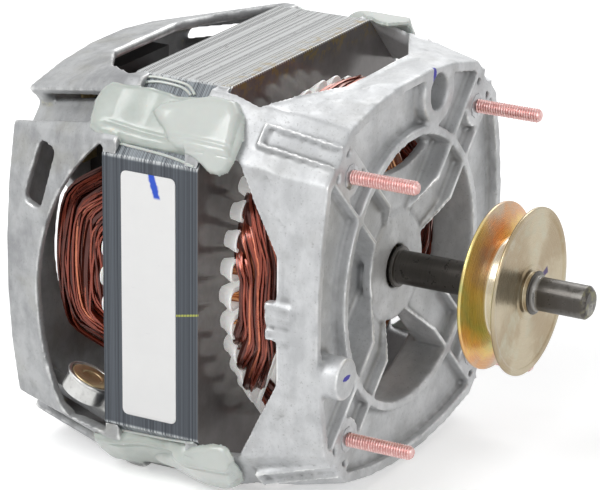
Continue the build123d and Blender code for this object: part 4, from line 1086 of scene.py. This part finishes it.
class MOTOR_OT_studs(bpy.types.Operator):
    """Four threaded studs and their toothed push rings"""

    bl_idname = "motor.studs"
    bl_label = "Studs and push rings"

    def execute(self, context):
        given = context.scene.motor_studs
        bars, rings = Shells(), Shells()
        plain, crest = thread(27.0, 2.74, given.depth / MM, given.pitch / MM)
        for k, corner in enumerate(((1, 1), (-1, 1), (-1, -1), (1, -1))):
            centre = STUD_OFFSET * np.array([0.0, *corner])
            bars.add(spun(*np.moveaxis(plain, -1, 0), 1.3 * k) + centre)
            bars.tones[-1] = crest.reshape(-1)
            rings.add(self.push_ring(k) + centre, wrap_u=True)
        settle(bars.made("stud_threads"), "stator_frame", "copper_plate", "mounting_studs")
        settle(rings.made("push_rings"), "stator_frame", "spring_steel_bright", "stud_push_nuts")
        return {"FINISHED"}

    def push_ring(self, k):
        """A thin dished ring with ten teeth round its outside: outer radius 4.6 to 4.85 by cos 10a; the
        section is a closed loop from the face of the casting up the dish to the stud."""
        a = round_angles(100)[:, None] + 0.4 * k
        outer = 4.6 + 0.25 * (0.5 + 0.5 * np.tanh(3 * np.cos(10 * a)))
        section = np.array([(0.02, 1.0), (0.32, 1.0), (0.55, 0.75), (0.78, 0.25), (0.79, 0.0), (0.45, 0.0),
                            (0.2, 0.3), (0.02, 0.7)])
        return polar(section[:, 0], 2.8 + (outer - 2.8) * section[:, 1], a)


# ---------------------------------------------------------------- shaft and pulley


class MOTOR_OT_shaft_and_pulley(bpy.types.Operator):
    """Black shaft with its collars, and the turned pulley"""

    bl_idname = "motor.shaft_and_pulley"
    bl_label = "Shaft and pulley"

    def execute(self, context):
        r = SHAFT_RADIUS
        # outline from the rear end to the tip; the ends close round a hair-thin hole on the axis
        outline = rounded([(-130.0, 0.01), (-130.0, 5.65), (-129.2, r), (-99.5, r), (-99.5, 8.0), (-28.5, 8.0),
                           (-28.5, r), (-6.6, r), (-6.5, 7.9), (-5.0, 7.9), (-4.9, r), (50.35, r), (50.4, 8.2),
                           (51.1, 8.3), (51.3, 7.0), (52.3, 6.9), (52.7, 6.35), (71.7, 6.35), (73.1, 4.95),
                           (73.1, 0.01)], 0.3, steps=3, closed=False)
        grid = polar(outline[:, :1], outline[:, 1:], round_angles(96))
        # two flats on the tip
        flat = 5.75 + 3.0 * (1 - step(outline[:, :1], 52.3, 52.7))
        grid[..., 1] = np.clip(grid[..., 1], -flat, flat)
        shaft = shell("black_shaft", grid, wrap_u=False)
        mark_edges(shaft, scale=0.0004)
        settle(shaft, "rotor", "black_shaft_steel", "shaft")
        section = [
            (34.0, 6.5), (34.0, 9.5), (34.6, 10.5), (34.3, 27.0), (34.0, 29.5), (34.0, 31.75), (35.2, 31.75),
            (38.7, 19.6), (39.3, 19.0), (43.4, 19.0), (44.0, 19.6), (47.5, 31.75), (48.7, 31.75), (48.7, 29.6),
            (48.3, 28.8), (48.3, 11.0), (48.7, 9.6), (48.7, 7.6), (50.3, 7.4), (50.3, 6.5)]
        pulley = shell("turned_pulley", lathe(section, 0.45, 128))
        settle(pulley, "rotor", "passivated_steel", "pulley")
        return {"FINISHED"}


# ---------------------------------------------------------------- protector


class MOTOR_OT_protector(bpy.types.Operator):
    """Thermal protector: drawn can with a rolled rim and its base"""

    bl_idname = "motor.protector"
    bl_label = "Thermal protector"

    def execute(self, context):
        turn = np.array(Matrix.Translation(Vector((-99.5, -68.2, -40.0)))
                        @ Matrix.Rotation(math.radians(-12.0), 4, "X") @ Matrix.Rotation(math.radians(25.0), 4, "Y"))
        for name, node, profile, blend, material, slot in (
                ("protector_shell", "protector_can",
                 [(-8.0, 0.01), (-8.0, 9.0), (-1.6, 9.0), (-1.2, 9.4), (-1.0, 10.0), (-0.35, 10.0), (0.0, 9.5),
                  (-0.1, 8.4), (-1.7, 8.3), (-1.9, 0.01)], 0.6, "protector_steel", "plate_steel"),
                ("protector_disc", "protector_base",
                 [(-1.8, 0.01), (-1.8, 8.15), (-0.4, 8.15), (-0.05, 7.8), (-0.05, 4.2), (-0.5, 3.9), (-0.5, 0.01)],
                 0.3, "gold_cover", "black_plastic")):
            # the profile's x runs up the can's own axis
            grid = np.roll(lathe(profile, blend, 48), -1, axis=-1)
            piece = shell(name, grid @ turn[:3, :3].T + turn[:3, 3], merge=True)
            settle(piece, "stator_frame", material, node)
        return {"FINISHED"}


# ---------------------------------------------------------------- inside


class MOTOR_OT_inside(bpy.types.Operator):
    """Finishes of the bearings, rotor, governor and switch, with coiled springs and felt rings"""

    bl_idname = "motor.inside"
    bl_label = "Rotor, bearings and switch"

    def execute(self, context):
        for material, nodes in (
                ("sheet_edges", ("rotor_core",)),
                ("cage_aluminium", ("rotor_cage",)),
                ("sintered_bronze", ("sleeve_bearings",)),
                ("spring_steel_bright", ("bearing_retainers", "weight_pins", "lever_pin", "switch_screws")),
                ("zinc_sheet", ("rear_bearing_cap", "oil_slinger", "governor_plate", "governor_weight_a",
                                "governor_weight_b")),
                ("black_phenolic", ("thrust_washers", "governor_spool", "switch_base", "switch_lever")),
                ("brass_blade", ("switch_terminals",))):
            for node in nodes:
                dress(node, material)
        springs = Shells()
        t = np.linspace(0, 1, 420)
        low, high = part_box("governor_springs")
        x = (low.x + high.x) / 2 / MM
        reach = high.y / MM - 0.2
        a = math.tau * 26 * t
        for z in (low.z / MM + 1.5, high.z / MM - 1.5):
            path = np.stack([x + 1.15 * np.cos(a), reach * (2 * t - 1), z + 1.15 * np.sin(a)], -1)
            springs.add(carried(path[None], 0.28, 6))
        settle(springs.made("tension_springs"), "rotor", "spring_steel_bright", "governor_springs")
        felts = Shells()
        low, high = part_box("bearing_felts")
        for x0 in (low.x / MM, high.x / MM - 3.0):
            x1 = x0 + 3.0
            felts.add(lathe([(x0, 8.0), (x0, 11.0), (x1, 11.0), (x1, 8.0)], 0.4, 48), wrap_u=True)
        settle(felts.made("felt_rings"), "stator_frame", "oiled_felt", "bearing_felts")
        return {"FINISHED"}


# ---------------------------------------------------------------- stage


class MOTOR_OT_stage(bpy.types.Operator):
    """Pale floor, soft lights, white surroundings and the camera"""

    bl_idname = "motor.stage"
    bl_label = "Stage"

    def execute(self, context):
        scene = context.scene
        given = scene.motor_stage
        scene.view_settings.view_transform = "Standard"
        world = bpy.data.worlds.new("studio")
        scene.world = world
        world.use_nodes = True
        tree = world.node_tree
        tree.nodes.clear()
        # white to the eye and in reflections, and dimmer as a light
        rays = node(tree, "LightPath", out=None)
        seen = rays["Is Camera Ray"].math("MAXIMUM", rays["Is Glossy Ray"])
        strength = seen.math("MAXIMUM", rays["Is Transmission Ray"]).span(0.0, 1.0, 0.30, 1.0, "LINEAR")
        back = node(tree, "Background", {"Color": (1.0, 1.0, 1.0, 1.0), "Strength": strength})
        node(tree, "OutputWorld", {"Surface": back}, None)
        self.floor(given)
        for name, place, target, width, height, power in (
                ("key", (-0.55, -1.0, 1.25), (-0.05, 0.0, 0.0), 0.9, 0.9, given.key_power),
                ("fill", (1.3, -0.6, 0.6), (0.0, 0.0, 0.0), 0.8, 0.8, given.key_power * 0.26),
                ("back", (-0.2, 1.1, 1.0), (-0.05, 0.0, 0.0), 0.9, 0.6, given.key_power * 0.45)):
            lamp = bpy.data.lights.new(name, "AREA")
            lamp.shape = "RECTANGLE"
            lamp.size, lamp.size_y, lamp.energy = width, height, power
            holder = placed(name, lamp)
            holder.location = place
            away = Vector(place) - Vector(target)
            holder.rotation_euler = away.to_track_quat("Z", "Y").to_euler()
        self.camera()
        return {"FINISHED"}

    def floor(self, given):
        mesh = bpy.data.meshes.new("floor")
        mesh.from_pydata([(x, y, FLOOR_HEIGHT) for x, y in ((-6, -6), (6, -6), (6, 6), (-6, 6))], [], [(0, 1, 2, 3)])
        floor = placed("floor", mesh)
        pale = finish("pale_floor")
        pale.node_tree.nodes["Principled BSDF"].inputs["Base Color"].default_value = (*given.floor_colour, 1.0)
        mesh.materials.append(pale)

    def camera(self):
        """The photograph's view: position, direction, a small roll and a long lens. back points from the
        motor to the camera."""
        back = np.array([0.45588, -0.82575, 0.33214])
        right = unit(np.cross((0.0, 0.0, 1.0), back))
        up = np.cross(back, right)
        roll = math.radians(0.586)
        turned = (math.cos(roll) * right + math.sin(roll) * up, math.cos(roll) * up - math.sin(roll) * right, back)
        data = bpy.data.cameras.new("camera")
        data.lens, data.sensor_width = 199.04, 36.0
        data.clip_start, data.clip_end = 0.05, 30.0
        camera = placed("camera", data)
        matrix = np.eye(4)
        matrix[:3, :3] = np.array(turned).T
        matrix[:3, 3] = (0.52921, -1.04684, 0.42185)
        camera.matrix_world = Matrix(matrix.tolist())
        bpy.context.scene.camera = camera


# ---------------------------------------------------------------- panel and run

OPERATORS = (MOTOR_OT_castings, MOTOR_OT_core, MOTOR_OT_windings, MOTOR_OT_cement, MOTOR_OT_plate, MOTOR_OT_studs,
             MOTOR_OT_shaft_and_pulley, MOTOR_OT_protector, MOTOR_OT_inside, MOTOR_OT_stage)
GROUPS = {"motor_castings": MotorCastings, "motor_windings": MotorWindings, "motor_studs": MotorStuds,
          "motor_stage": MotorStage}


class MOTOR_PT_panel(bpy.types.Panel):
    """Lists the pieces and their sizes"""

    bl_idname = "MOTOR_PT_panel"
    bl_label = "Open-frame motor"
    bl_space_type = "VIEW_3D"
    bl_region_type = "UI"
    bl_category = "Motor"

    def draw(self, context):
        for operator in OPERATORS:
            self.layout.operator(operator.bl_idname)
        for name in GROUPS:
            box = self.layout.box()
            values = getattr(context.scene, name)
            for key in values.bl_rna.properties.keys():
                if key not in ("rna_type", "name"):
                    box.prop(values, key)


def register():
    for name, made in GROUPS.items():
        bpy.utils.register_class(made)
        setattr(bpy.types.Scene, name, bpy.props.PointerProperty(type=made))
    for made in (*OPERATORS, MOTOR_PT_panel):
        bpy.utils.register_class(made)


def unregister():
    for made in (MOTOR_PT_panel, *reversed(OPERATORS)):
        bpy.utils.unregister_class(made)
    for name, made in GROUPS.items():
        delattr(bpy.types.Scene, name)
        bpy.utils.unregister_class(made)


def main():
    register()
    for operator in OPERATORS:
        space, name = operator.bl_idname.split(".")
        getattr(getattr(bpy.ops, space), name)()
    bpy.context.view_layer.update()


if __name__ == "__main__":
    main()
